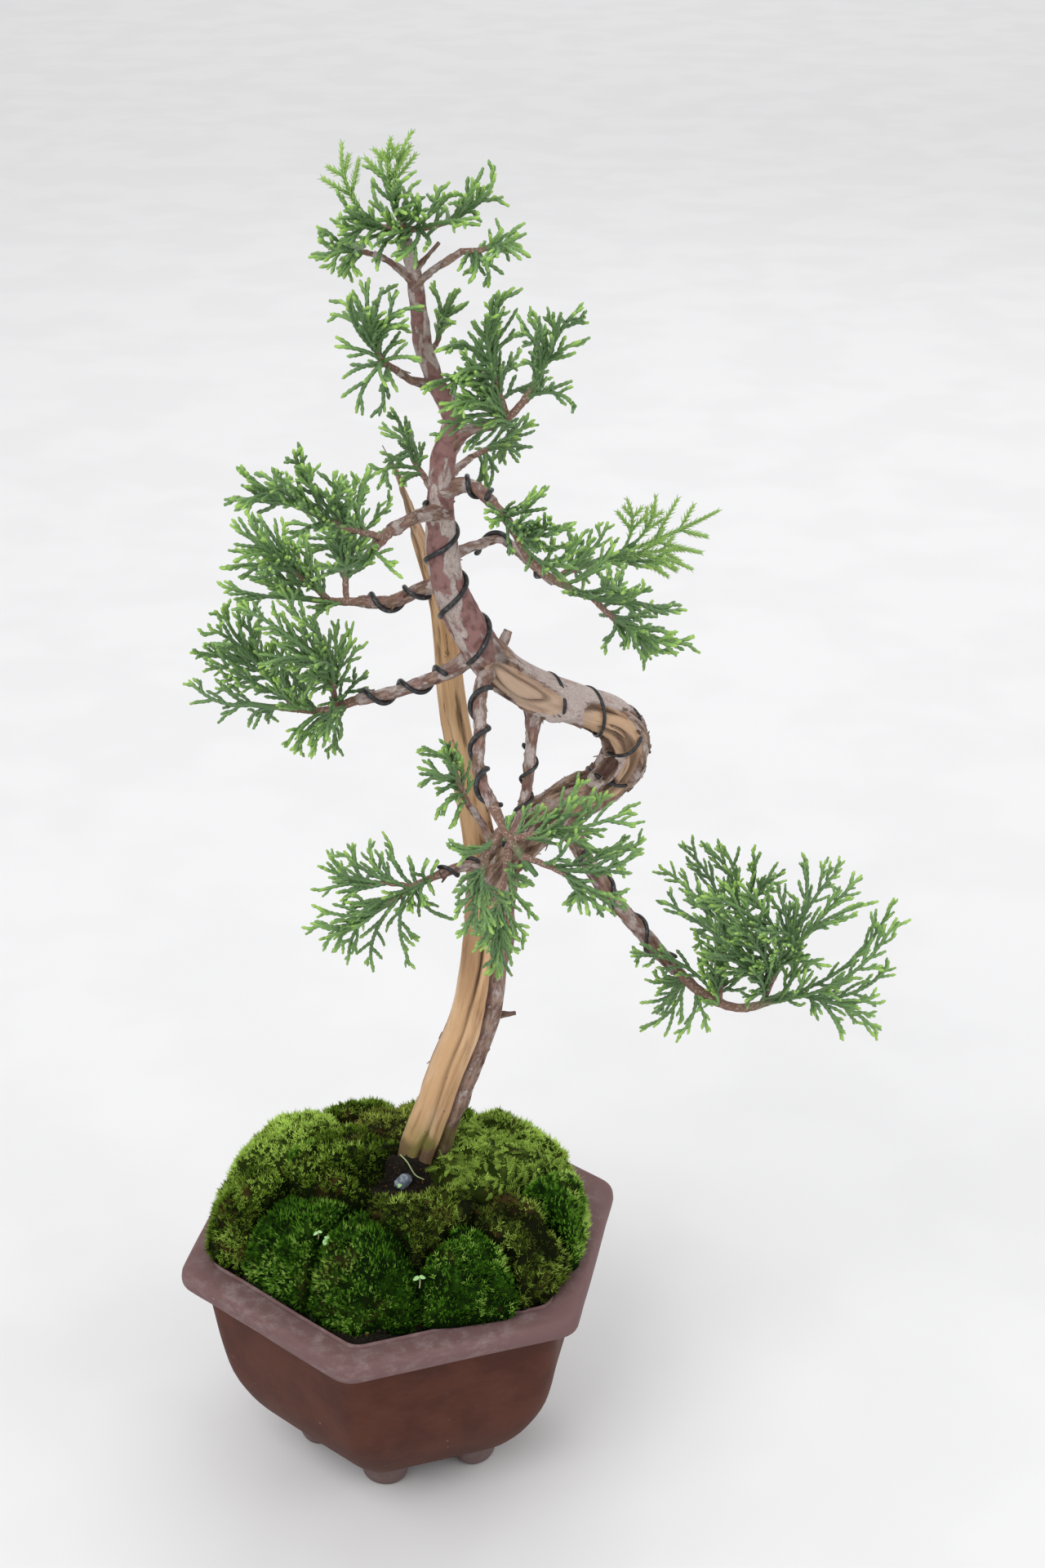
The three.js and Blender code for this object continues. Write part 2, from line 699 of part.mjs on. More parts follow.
const trunkSection = (angle, share) =>
  1 + 0.07 * Math.cos(2 * angle - 7 * share) + 0.05 * Math.cos(3 * angle + 5 * share);

const trunkStations = stationsAlong(TRUNK_ROUTE, TRUNK_STEP);

// The trunk's lowest part, grown all round, to be taken out of what stands about it.
function trunkHole(grow) {
  const foot = trunkStations.slice(0, BURIED_STATIONS + 1).map((s) => ({ ...s, p: s.p.clone() }));
  foot[0].p.addScaledVector(foot[0].t, -grow);
  const shareOfTrunk = BURIED_STATIONS / (trunkStations.length - 1);
  const section = (angle, share) => trunkSection(angle, share * shareOfTrunk);
  return tube(foot, TRUNK_SIDES, section, grow);
}

function makeSoil() {
  return soilBody(0).subtract(trunkHole(GAP));
}

// What of an outline lies behind the line through (x, y) with the normal (nx, ny).
function clipped(outline, x, y, nx, ny) {
  const beyond = (p) => (p.x - x) * nx + (p.y - y) * ny;
  return outline.flatMap((p, i) => {
    const q = outline[(i + 1) % outline.length];
    const [from, to] = [beyond(p), beyond(q)];
    const crossing = from * to < 0 ? [p.clone().lerp(q, from / (from - to))] : [];
    return from <= 0 ? [p, ...crossing] : crossing;
  });
}

// A cushion's share of the mound: what lies nearer to its middle than to any other's, with
// close corners merged, long edges halved and the corners drawn in a little.
function cushionOutline(x, y) {
  let outline = hexRing(MOUTH_REACH * MOSS_OVERHANG, MOUTH_ROUNDING, 0, 2);
  Object.values(CUSHIONS).forEach(([ox, oy]) => {
    const apart = Math.hypot(ox - x, oy - y);
    if (apart === 0) return;
    const nx = (ox - x) / apart;
    const ny = (oy - y) / apart;
    const far = apart / 2 - MOSS_CREVICE;
    outline = clipped(outline, x + nx * far, y + ny * far, nx, ny);
  });
  const corners = outline.filter((p, i) => p.distanceTo(outline.at(i - 1)) > MOSS_SHORTEST_EDGE);
  return corners.flatMap((p, i) => {
    const q = corners[(i + 1) % corners.length];
    const drawnIn = vec(x, y, 0).lerp(p, MOSS_CORNER);
    return p.distanceTo(q) > MOSS_LONGEST_EDGE ? [drawnIn, p.clone().lerp(q, 0.5)] : [drawnIn];
  });
}

// One cushion: a pillow over its share of the mound.
function makeCushion(name, clear) {
  const [x, y, lift] = CUSHIONS[name];
  const outline = cushionOutline(x, y);
  const ring = (share, heightAt) =>
    outline.map((p) => {
      const px = lerp(x, p.x, share);
      const py = lerp(y, p.y, share);
      return vec(px, py, heightAt(shareOut(px, py)));
    });
  const out = shareOut(x, y);
  const pillow = loft([
    [vec(x, y, mossUnderside(out))],
    ring(0.62, mossUnderside),
    ring(0.95, mossUnderside),
    ring(1, (far) => lerp(mossUnderside(far), mossTop(far) + lift, 0.45)),
    ring(0.86, (far) => mossTop(far) - 1.4 + lift),
    ring(0.5, (far) => mossTop(far) + 0.4 + lift),
    [vec(x, y, mossTop(out) + 0.8 + lift)],
  ]);
  return MOSS_ROUND_TRUNK.includes(name) ? pillow.subtract(clear) : pillow;
}

// What the moss leaves free: the trunk and the bare patch.
function mossClearance() {
  const { x, y, halfX, halfY } = CLEARING;
  const bare = loft([60, 130].map((z) => ellipseRing(x, y, z, halfX, halfY, 10, 0)));
  return fuse([bare, trunkHole(MOSS_OFF_TRUNK)]);
}

function makeChip() {
  const rock = new THREE.IcosahedronGeometry(1, 0);
  rock.scale(CHIP.halfX, CHIP.halfY, CHIP.halfZ);
  rock.rotateZ(CHIP.turn);
  rock.rotateX(CHIP.tip);
  const seat = soilTop(shareOut(CHIP.x, CHIP.y)) + CHIP.halfZ * CHIP_SHOWS;
  rock.translate(CHIP.x, CHIP.y, seat);
  const corners = rock.getAttribute("position");
  const seen = new Map();
  const position = [];
  const index = [];
  for (let i = 0; i < corners.count; i += 1) {
    const p = [corners.getX(i), corners.getY(i), corners.getZ(i)];
    const key = p.map((v) => v.toFixed(3)).join();
    if (!seen.has(key)) {
      seen.set(key, position.length / 3);
      position.push(...p);
    }
    index.push(seen.get(key));
  }
  return solidFrom(position, index).subtract(soilBody(GAP));
}

// Keeping pieces clear of each other: every round length of wood, wire or shoot is noted as a
// capsule with the name of its node.
const capsules = [];

function noteCapsules(node, stations, swell = 1, shoot = false) {
  stations.slice(1).forEach((s, i) => {
    const r = Math.max(s.r, stations[i].r) * swell;
    capsules.push({ node, a: stations[i].p, b: s.p, r, shoot });
  });
}

function apartSegments(p1, q1, p2, q2) {
  const d1 = q1.clone().sub(p1);
  const d2 = q2.clone().sub(p2);
  const r = p1.clone().sub(p2);
  const a = d1.dot(d1);
  const e = d2.dot(d2);
  const f = d2.dot(r);
  const c = d1.dot(r);
  const b = d1.dot(d2);
  const denom = a * e - b * b;
  let s = denom > 1e-9 ? clamp((b * f - c * e) / denom, 0, 1) : 0;
  const t = clamp((b * s + f) / e, 0, 1);
  s = clamp((b * t - c) / a, 0, 1);
  const near = p1.clone().addScaledVector(d1, s);
  return near.distanceTo(p2.clone().addScaledVector(d2, t));
}

// Room left to the nearest capsule of another node, or of another shoot in the same one.
function roomRound(node, stations, apart = false) {
  let room = Infinity;
  stations.slice(1).forEach((s, i) => {
    const a = stations[i].p;
    const r = Math.max(s.r, stations[i].r);
    const reach = a.distanceTo(s.p) + r + 1;
    capsules.forEach((c) => {
      if (c.node === node && !(apart && c.shoot)) return;
      const quick = Math.min(a.distanceTo(c.a), a.distanceTo(c.b));
      if (quick > reach + c.r + c.a.distanceTo(c.b)) return;
      room = Math.min(room, apartSegments(a, s.p, c.a, c.b) - r - c.r);
    });
  });
  return room;
}

// The wood, with each branch ended square to the stem that goes on from it.
const woodStations = { trunk: trunkStations };
Object.entries(BRANCH_ROUTES).forEach(([name, route]) => {
  woodStations[name] = stationsAlong(route, name === "jin" ? JIN_STEP : BRANCH_STEP);
});

function jointDirection(name) {
  const wood = woodStations[name];
  const [, , from, to] = SPRAYS[name].stems[0];
  const onward = vec(to[0] - from[0], to[1] - from[1], to[2] - from[2]).normalize();
  return wood[wood.length - 1].t.clone().add(onward).normalize();
}

Object.keys(SPRAYS).forEach((name) => {
  const wood = woodStations[name];
  wood[wood.length - 1].t = jointDirection(name);
});

function makeTree() {
  const parts = Object.entries(woodStations).map(([name, stations]) => {
    noteCapsules("tree", stations, name === "trunk" ? TRUNK_SWELL : 1);
    if (name === "trunk") return tube(stations, TRUNK_SIDES, trunkSection);
    const thick = stations[0].r > THICK_BRANCH;
    return tube(stations, thick ? THICK_BRANCH_SIDES : THIN_BRANCH_SIDES);
  });
  return fuse(parts);
}

// A wire: a coil round its host, pushed off any wood that it would touch.
function wireStations({ host, start, end, turns, r, from }) {
  const onTrunk = host === "trunk";
  const dense = framed(stationsAlong(onTrunk ? TRUNK_ROUTE : BRANCH_ROUTES[host], 0.8));
  const steps = Math.round(turns * (onTrunk ? TRUNK_WIRE_STEPS : BRANCH_WIRE_STEPS));
  const half = r * WIRE_SQUARE;
  const points = Array.from({ length: steps + 1 }, (_, i) => {
    const s = dense[Math.round(lerp(start, end, i / steps) * (dense.length - 1))];
    const clear = s.r * (onTrunk ? TRUNK_SWELL : 1) + half + GAP;
    const angle = degToRad(from) + (turns * 2 * Math.PI * i) / steps;
    return aroundStation(s, angle, clear / Math.cos((Math.PI * turns) / steps));
  });
  const push = (at, moved) => {
    capsules.forEach(({ a, b, r: wood }) => {
      const span = b.clone().sub(a);
      const t = clamp(at.clone().sub(a).dot(span) / span.dot(span), 0, 1);
      const away = at.clone().sub(a.clone().addScaledVector(span, t));
      const lack = wood + half + GAP - away.length();
      if (lack > 0) moved.forEach((p) => p.add(away.setLength(lack * WIRE_PUSH)));
    });
  };
  for (let round = 0; round < WIRE_ROUNDS; round += 1) {
    points.forEach((p, i) => {
      push(p, [p]);
      const q = points[i + 1];
      if (q) push(p.clone().lerp(q, 0.5), [p, q]);
    });
  }
  return points.map((p, i) => {
    const before = points[Math.max(i - 1, 0)];
    const after = points[Math.min(i + 1, steps)];
    return { p, t: after.clone().sub(before).normalize(), r: half };
  });
}

// Stations of a spray's stems, the first one set off a little from the wood.
function stemStations(name) {
  return SPRAYS[name].stems.map(([r0, r1, ...points], k) => {
    const route = points.map(([x, y, z], i) => [x, y, z, lerp(r0, r1, i / (points.length - 1))]);
    const stations = stationsAlong(route, STEM_STEP);
    if (k === 0) {
      const joint = jointDirection(name);
      stations[0].p.addScaledVector(joint, STEM_SET_OFF);
      stations[0].t = joint;
    }
    return stations;
  });
}

// A closed skin of three-cornered facets. A facet can be drawn out into a new end facet with
// six facets round it, and so a stem, its shoots and their side shoots stay one skin.
class Skin {
  constructor(rings) {
    this.points = rings.flat();
    this.facets = new Set();
    this.sides = [];
    let from = 0;
    rings.slice(1).forEach((ring, k) => {
      const n = ring.length;
      const below = rings[k].length;
      for (let i = 0; i < n; i += 1) {
        const next = (i + 1) % n;
        const [a, b] = [from + (i % below), from + (next % below)];
        const [d, c] = [from + below + i, from + below + next];
        if (below > 1) this.sides.push({ row: k, facet: this.add(a, b, c) });
        const facet = this.add(below > 1 ? a : from, c, d);
        if (below > 1) this.sides.push({ row: k, facet });
      }
      from += below;
    });
    const last = rings.at(-1).length - 1;
    for (let i = 1; i < rings[0].length - 1; i += 1) this.add(0, i + 1, i);
    for (let i = 1; i < last; i += 1) this.end = this.add(from, from + i, from + i + 1);
  }

  add(...facet) {
    this.facets.add(facet);
    return facet;
  }

  corners(facet) {
    return facet.map((i) => this.points[i]);
  }

  heart(facet) {
    const [a, b, c] = this.corners(facet);
    return a.clone().add(b).add(c).divideScalar(3);
  }

  normal(facet) {
    const [a, b, c] = this.corners(facet);
    return b.clone().sub(a).cross(c.clone().sub(a)).normalize();
  }

  // Draws the facet out to a ring of three corners about a station, without twisting it.
  drawOut(facet, station) {
    const heart = this.heart(facet);
    const lean = vec(0, 0, 0);
    this.corners(facet).forEach((corner, j) => {
      const spoke = corner.clone().sub(heart);
      const angle = Math.atan2(spoke.dot(station.up), spoke.dot(station.side)) - j * THIRD;
      lean.add(vec(Math.cos(angle), Math.sin(angle), 0));
    });
    const start = Math.atan2(lean.y, lean.x);
    const from = this.points.length;
    facet.forEach((_, j) => this.points.push(aroundStation(station, start + j * THIRD, station.r)));
    this.facets.delete(facet);
    const sides = facet.map((v, j) => {
      const next = (j + 1) % 3;
      const lower = this.add(v, facet[next], from + next);
      this.add(v, from + next, from + j);
      return lower;
    });
    return { sides, end: this.add(from, from + 1, from + 2) };
  }

  solid() {
    return solidFrom(this.points.flatMap((p) => [p.x, p.y, p.z]), [...this.facets].flat());
  }
}

// The stem points from which a shoot could grow, the best first: near its tip, far enough back
// to lean forward, and not where another shoot has its root.
function rootsFor(tip, stems, taken) {
  const roots = [];
  stems.forEach((stations, stem) => {
    for (let row = 0; row < stations.length - 1; row += 1) {
      for (let part = 0; part < 1; part += 0.5) {
        if (stem + row === 0) continue;
        const p = stations[row].p.clone().lerp(stations[row + 1].p, part);
        const t = stations[row].t.clone().lerp(stations[row + 1].t, part).normalize();
        const away = tip.clone().sub(p);
        const crowded = taken.filter((q) => q.distanceTo(p) < ROOT_SPACING).length;
        const cost = away.length() - SHOOT_LEAN * away.dot(t) + ROOT_CROWDED * crowded;
        roots.push({ p, t, r: stations[row].r, stem, row, cost });
      }
    }
  });
  return roots.sort((a, b) => a.cost - b.cost).slice(0, ROOTS_TRIED);
}

function stationsOn(bend, shares) {
  return shares.map((u) => ({
    p: bend.getPoint(u),
    t: bend.getTangent(u),
    r: lerp(SHOOT_R[0], SHOOT_R[1], u),
  }));
}

// The line of a shoot: from its root a share of the way to its tip, bowed towards an angle.
function bowed(root, tip, share, bow, angle) {
  const away = tip.clone().sub(root.p);
  const along = away.clone().normalize();
  const out = root.t.clone().addScaledVector(along, -root.t.dot(along)).normalize();
  const across = along.clone().cross(out);
  const end = root.p.clone().addScaledVector(away, share);
  const middle = root.p.clone().lerp(end, 0.5);
  middle.addScaledVector(out, Math.cos(angle) * bow * away.length());
  middle.addScaledVector(across, Math.sin(angle) * bow * away.length());
  return new THREE.QuadraticBezierCurve3(root.p, middle, end);
}

// Looks for a root and a bow that keep a shoot clear of the other nodes, and also of the other
// shoots of its own spray where it is to stay apart from them. Only one that needn't stay apart
// may end short of its tip.
function clearShoot(node, roots, tip, turn, apart) {
  for (const share of apart ? [1] : SHOOT_SHARES) {
    for (const bow of SHOOT_BOWS) {
      for (const root of roots) {
        const start = (root.r + 1) / tip.distanceTo(root.p);
        for (const step of SHOOT_TURNS) {
          const bend = bowed(root, tip, share, bow, turn + step * SHOOT_TURN);
          const beyondStem = stationsOn(bend, [start, 0.5, 1]);
          if (apart && roomRound(node, beyondStem, true) < SHOOT_ROOM) continue;
          if (roomRound(node, stationsOn(bend, [0.1, 0.4, 0.7, 1])) > GAP) return { bend, root };
        }
      }
    }
  }
  return null;
}

// The stem facet that looks most towards a shoot, if one near its root is still whole.
function facetFor(skin, { p, row }, collar) {
  const away = collar.p.clone().sub(p).normalize();
  let best = null;
  skin.sides.forEach((side) => {
    if (side.row < 1 || Math.abs(side.row - row) > 1 || !skin.facets.has(side.facet)) return;
    const facing = skin.normal(side.facet).dot(away);
    const score = facing - FACET_FAR * skin.heart(side.facet).distanceTo(collar.p);
    if (facing > FACET_FACING && (!best || score > best.score)) best = { ...side, score };
  });
  return best && best.facet;
}

// Grows a shoot with its forks out of a stem's skin, or as a skin of its own that is rooted in
// the stem. At a fork two of the three sides are drawn out into side shoots.
function growShoot(node, skin, { bend, root }, apart, draw) {
  const length = bend.getLength();
  const forks = FORKS.filter(({ over }) => length > over).map(({ at }) => at);
  const start = Math.min((root.r + ROOT_COLLAR) / length, 0.45);
  const shares = [start, ...forks.flatMap((u) => [u, u + FORK_STRETCH / length]), 1];
  const stations = framed(stationsOn(bend, shares));
  const facet = apart && facetFor(skin, root, stations[0]);
  const collar = [0, 1, 2].map((j) => aroundStation(stations[0], j * THIRD, stations[0].r));
  const grown = facet ? skin : new Skin([[bend.getPoint(0)], collar]);
  let end = facet ? skin.drawOut(facet, stations[0]).end : grown.end;
  stations.slice(1).forEach((s, k) => {
    const next = grown.drawOut(end, s);
    end = next.end;
    if (k % 2 === 0 || k >= shares.length - 2) return;
    const skipped = Math.floor(draw() * 3);
    next.sides.forEach((side, i) => {
      const size = length * lerp(...SIDE_SHARES, shares[k]) * lerp(0.8, 1.2, draw());
      if (i !== skipped) growSide(node, grown, side, s, clamp(size, ...SIDE_LENGTHS));
    });
  });
  noteCapsules(node, stationsOn(bend, [start, 0.5, 1]), 1, true);
  noteCapsules(node, stationsOn(bend, [0.08, start]));
  return grown === skin ? null : grown.solid();
}

// Draws a side shoot out of a facet, leaned so that it stays clear, or leaves it out.
function growSide(node, skin, facet, station, far) {
  const heart = skin.heart(facet);
  const normal = skin.normal(facet);
  const across = station.t.clone().cross(normal);
  for (const lean of [0, 0.5, -0.5]) {
    const out = normal.clone().addScaledVector(across, lean).normalize();
    const aim = station.t.clone().multiplyScalar(Math.cos(SIDE_ANGLE));
    aim.addScaledVector(out, Math.sin(SIDE_ANGLE)).normalize();
    const twig = [0, 0.4, 1].map((u) => ({
      p: heart.clone().addScaledVector(aim, far * u),
      t: aim,
      r: SIDE_R,
    }));
    const free = twig.slice(1);
    if (roomRound(node, free, true) > SHOOT_ROOM && roomRound(node, twig) > GAP) {
      noteCapsules(node, free, 1, true);
      noteCapsules(node, twig);
      skin.drawOut(facet, framed(twig)[2]);
      return;
    }
  }
}

// A spray: its stems, and a shoot to each tip. Shoots that find no place are left out.
function makeSpray(name, seed) {
  const node = "spray_" + name;
  const draw = randomFrom(seed);
  const stems = stemStations(name);
  const skins = stems.map((stations) => new Skin(tubeRings(stations, STEM_SIDES)));
  const taken = [];
  const rooted = [];
  SPRAYS[name].tips.forEach(([x, y, z]) => {
    const tip = vec(x, y, z);
    const roots = rootsFor(tip, stems, taken);
    const turn = (draw() - 0.5) * 1.2;
    const free = clearShoot(node, roots, tip, turn, true);
    const shoot = free ?? clearShoot(node, roots, tip, turn, false);
    if (!shoot) return;
    taken.push(shoot.root.p);
    const own = growShoot(node, skins[shoot.root.stem], shoot, Boolean(free), draw);
    if (own) rooted.push(own);
  });
  return fuse([...skins.map((skin) => skin.solid()), ...rooted]);
}

const root = new THREE.Group();

function addNode(parent, name, solid, color, roughness, metalness = 0) {
  const { vertProperties, triVerts } = solid.getMesh();
  const geometry = new THREE.BufferGeometry();
  geometry.setAttribute("position", new THREE.BufferAttribute(vertProperties, 3));
  geometry.setIndex(new THREE.BufferAttribute(triVerts, 1));
  const material = new THREE.MeshStandardMaterial({ color, roughness, metalness });
  const mesh = new THREE.Mesh(geometry, material);
  mesh.name = name;
  parent.add(mesh);
}

const planting = new THREE.Group();
root.add(planting);
addNode(planting, "pot", makePot(), CLAY, 0.8);
addNode(planting, "drain_net", makeNet(), NET_BLACK, 0.6);
addNode(planting, "soil", makeSoil(), EARTH, 1);
const clear = mossClearance();
Object.entries(CUSHIONS).forEach(([name, [, , , color]]) => {
  addNode(planting, "moss_" + name, makeCushion(name, clear), color, 1);
});
addNode(planting, "stone_chip", makeChip(), CHIP_BLUE, 0.6);

const plant = new THREE.Group();
planting.add(plant);
addNode(plant, "tree", makeTree(), BARK, 0.9);

const wires = Object.entries(WIRES).map(([name, wire]) => [name, wireStations(wire)]);
wires.forEach(([name, stations]) => {
  noteCapsules("wire_" + name, stations);
  addNode(plant, "wire_" + name, tube(stations, WIRE_SIDES), WIRE_GREY, 0.45, 0.6);
});
Object.keys(SPRAYS).forEach((name) => {
  stemStations(name).forEach((stations) => noteCapsules("spray_" + name, stations));
});
Object.keys(SPRAYS).forEach((name, i) => {
  addNode(plant, "spray_" + name, makeSpray(name, FIRST_SEED + i), LEAF, 0.7);
});

const whole = new THREE.Box3().setFromObject(root);
const middle = whole.getCenter(vec(0, 0, 0));
planting.position.set(-middle.x, -middle.y, -whole.min.z);

export default root;
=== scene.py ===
"""Itoigawa juniper bonsai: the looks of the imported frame.

A small wired juniper in a hexagonal clay pot on six cloud feet. Each piece is a fine mesh with
a procedural finish, and stands where its solid stands. Tables of routes and sizes are in
millimetres about the pot's axis, as in the part's source; MM and POT_AXIS take them to the frame.
"""

import itertools
import math

import bpy
import numpy as np
from bpy.props import FloatProperty, FloatVectorProperty, PointerProperty
from bpy.types import Operator, Panel, PropertyGroup
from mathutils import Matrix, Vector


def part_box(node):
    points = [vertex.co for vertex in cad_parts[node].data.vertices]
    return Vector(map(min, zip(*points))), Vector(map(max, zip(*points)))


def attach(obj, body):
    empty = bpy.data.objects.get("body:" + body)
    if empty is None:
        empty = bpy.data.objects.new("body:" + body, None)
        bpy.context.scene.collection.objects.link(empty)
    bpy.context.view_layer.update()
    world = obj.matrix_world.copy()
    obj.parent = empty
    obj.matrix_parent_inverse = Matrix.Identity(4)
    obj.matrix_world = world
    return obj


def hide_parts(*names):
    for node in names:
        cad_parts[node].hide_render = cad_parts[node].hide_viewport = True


bl_info = {
    "name": "Juniper bonsai",
    "version": (1, 0, 0),
    "blender": (4, 5, 0),
    "location": "3D View > Sidebar > Bonsai",
    "description": "Dresses the packed frame of a wired juniper bonsai in a clay pot",
    "category": "Object",
}

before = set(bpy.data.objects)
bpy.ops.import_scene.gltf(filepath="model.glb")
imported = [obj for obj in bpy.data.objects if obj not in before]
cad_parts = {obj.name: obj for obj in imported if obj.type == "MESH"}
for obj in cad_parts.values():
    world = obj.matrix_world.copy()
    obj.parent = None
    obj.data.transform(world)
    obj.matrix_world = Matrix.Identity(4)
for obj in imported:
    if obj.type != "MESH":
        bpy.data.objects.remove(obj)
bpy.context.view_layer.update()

MM = 0.001

# Where the random draws of each kind of piece start.
SEEDS = {"chip": 7, "soil": 11, "wood": 33, "moss": 200, "branches": 300, "sprays": 500}

POT_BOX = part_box("pot")
POT_AXIS = np.array([(POT_BOX[0][i] + POT_BOX[1][i]) / 2 for i in (0, 1)] + [0.0])

# The pot. A profile row is height, reach of the corners from the axis, and their rounding.
POT_TURN = math.radians(-41.1)
RIM_Z = 80
MOUTH_REACH = 62.6
MOUTH_ROUNDING = 6
POT_PROFILE = [
    (8, 6, 6), (8, 20, 8), (8, 36, 9), (9.5, 40.5, 10), (14, 46.5, 11), (23, 54, 12),
    (35, 60.5, 12), (50, 64, 12), (66, 66.2, 10), (70.4, 67.2, 9.5), (72.2, 70.4, 9),
    (73.4, 73.8, 8.5), (75, 75, 8), (77.8, 74.9, 8), (79.4, 74, 8), (80, 72, 8), (80, 66, 7),
    (79.7, 64.3, 6.5), (78.8, 62.8, 6), (60, 59, 6), (35, 54, 6), (22, 47, 6), (15.5, 40.5, 6),
    (14, 36, 6), (14, 20, 6), (14, 6, 6),
]
FOOT_CIRCLE = 32
FOOT_ROWS = [
    (0, 5, 4), (0.6, 6.4, 5.2), (2, 7.4, 5.9), (4, 7.9, 6.2), (6, 8.3, 6.4), (8, 9.8, 6.9),
    (10, 12.2, 7.6), (11.5, 13.4, 8),
]
NET = {"half": 9.5, "thick": 0.8, "bar": 2, "pitch": 5.4, "low": 14.3}

# The heap of soil and the moss over it, as in the part's source. A profile row is height and
# reach of the corners.
SOIL_PROFILE = [(15.4, 38.8), (22, 46.6), (35, 53.6), (60, 58.6), (76.2, 61.6)]
SOIL_EDGE_Z = 77
SOIL_CROWN = 27
SOIL_FALL = 2.6
GRAINS = 13000
STONES = 34
STONE_PATCH = ((-22, -59), (3, -47))
MOSS_CROWN = 30
MOSS_FALL = 3.5
MOSS_SHOULDER = 0.6
MOSS_CREVICE = 0.7
CLEARING = {"x": 1.5, "y": -11, "half_x": 8.5, "half_y": 6.5}
CHIP = {"x": 1, "y": -10.5, "half": (3.4, 2.4, 2.6), "turn": 0.6, "tip": 0.4, "shows": 0.55}

# Moss cushions: middle x and y, how far it stands above the mound, slot, and way of growing.
CUSHIONS = {
    "left": [-50, -12, 0, "moss_green", "shaggy"],
    "back_left": [-40, 20, 0, "moss_yellow", "shaggy"],
    "mid_left": [-22, -3, 1.2, "moss_green", "tufted"],
    "left_front": [-36, -32, -1, "moss_emerald", "silky"],
    "front": [-10, -46, 0, "moss_emerald", "silky"],
    "centre": [7, -30, 0.5, "moss_olive", "mixed"],
    "front_right": [25, -48, 0, "moss_emerald", "tufted"],
    "right_front": [43, -34, -0.5, "moss_olive", "mixed"],
    "right": [54, -13, 0.5, "moss_emerald", "tufted"],
    "right_back": [34, 2, 0.5, "moss_yellow", "ferny"],
    "back": [1, 29, 0, "moss_brown", "mixed"],
    "back_right": [39, 30, 0, "moss_yellow", "shaggy"],
    "rear_left": [-17, 44, 0, "moss_green", "shaggy"],
    "rear_right": [14, 48, 0, "moss_green", "tufted"],
}

# The wood. A route row is x, y, z and the radius there.
TRUNK_ROUTE = [
    (0, 4, 78, 8.8), (3, 3, 93, 8.3), (7, 2, 109, 7.8), (13, 1, 127, 7.6), (18, 0, 144, 7.5),
    (24, 0, 161, 7.4), (28, 0, 183, 7.4), (30, 1, 205, 7.5), (34, 3, 217, 7.2), (42, 6, 226, 6.8),
    (53, 8, 234, 6.3), (65, 8, 242, 6.5), (72, 6, 254, 6.9), (68, 2, 265, 6.6),
    (55, -3, 273, 6.1), (41, -8, 281, 6.4), (32, -12, 290, 6.2), (24, -14, 303, 5.6),
    (19, -14, 315, 5), (17, -14, 328, 4.4), (17, -14, 342, 3.8), (18, -15, 354, 3.4),
    (21, -16, 366, 2.9), (16, -17, 377, 2.5), (13, -18, 387, 2.3), (12, -19, 396, 2.2),
    (11, -20, 407, 1.9), (9, -21, 417, 1.4),
]
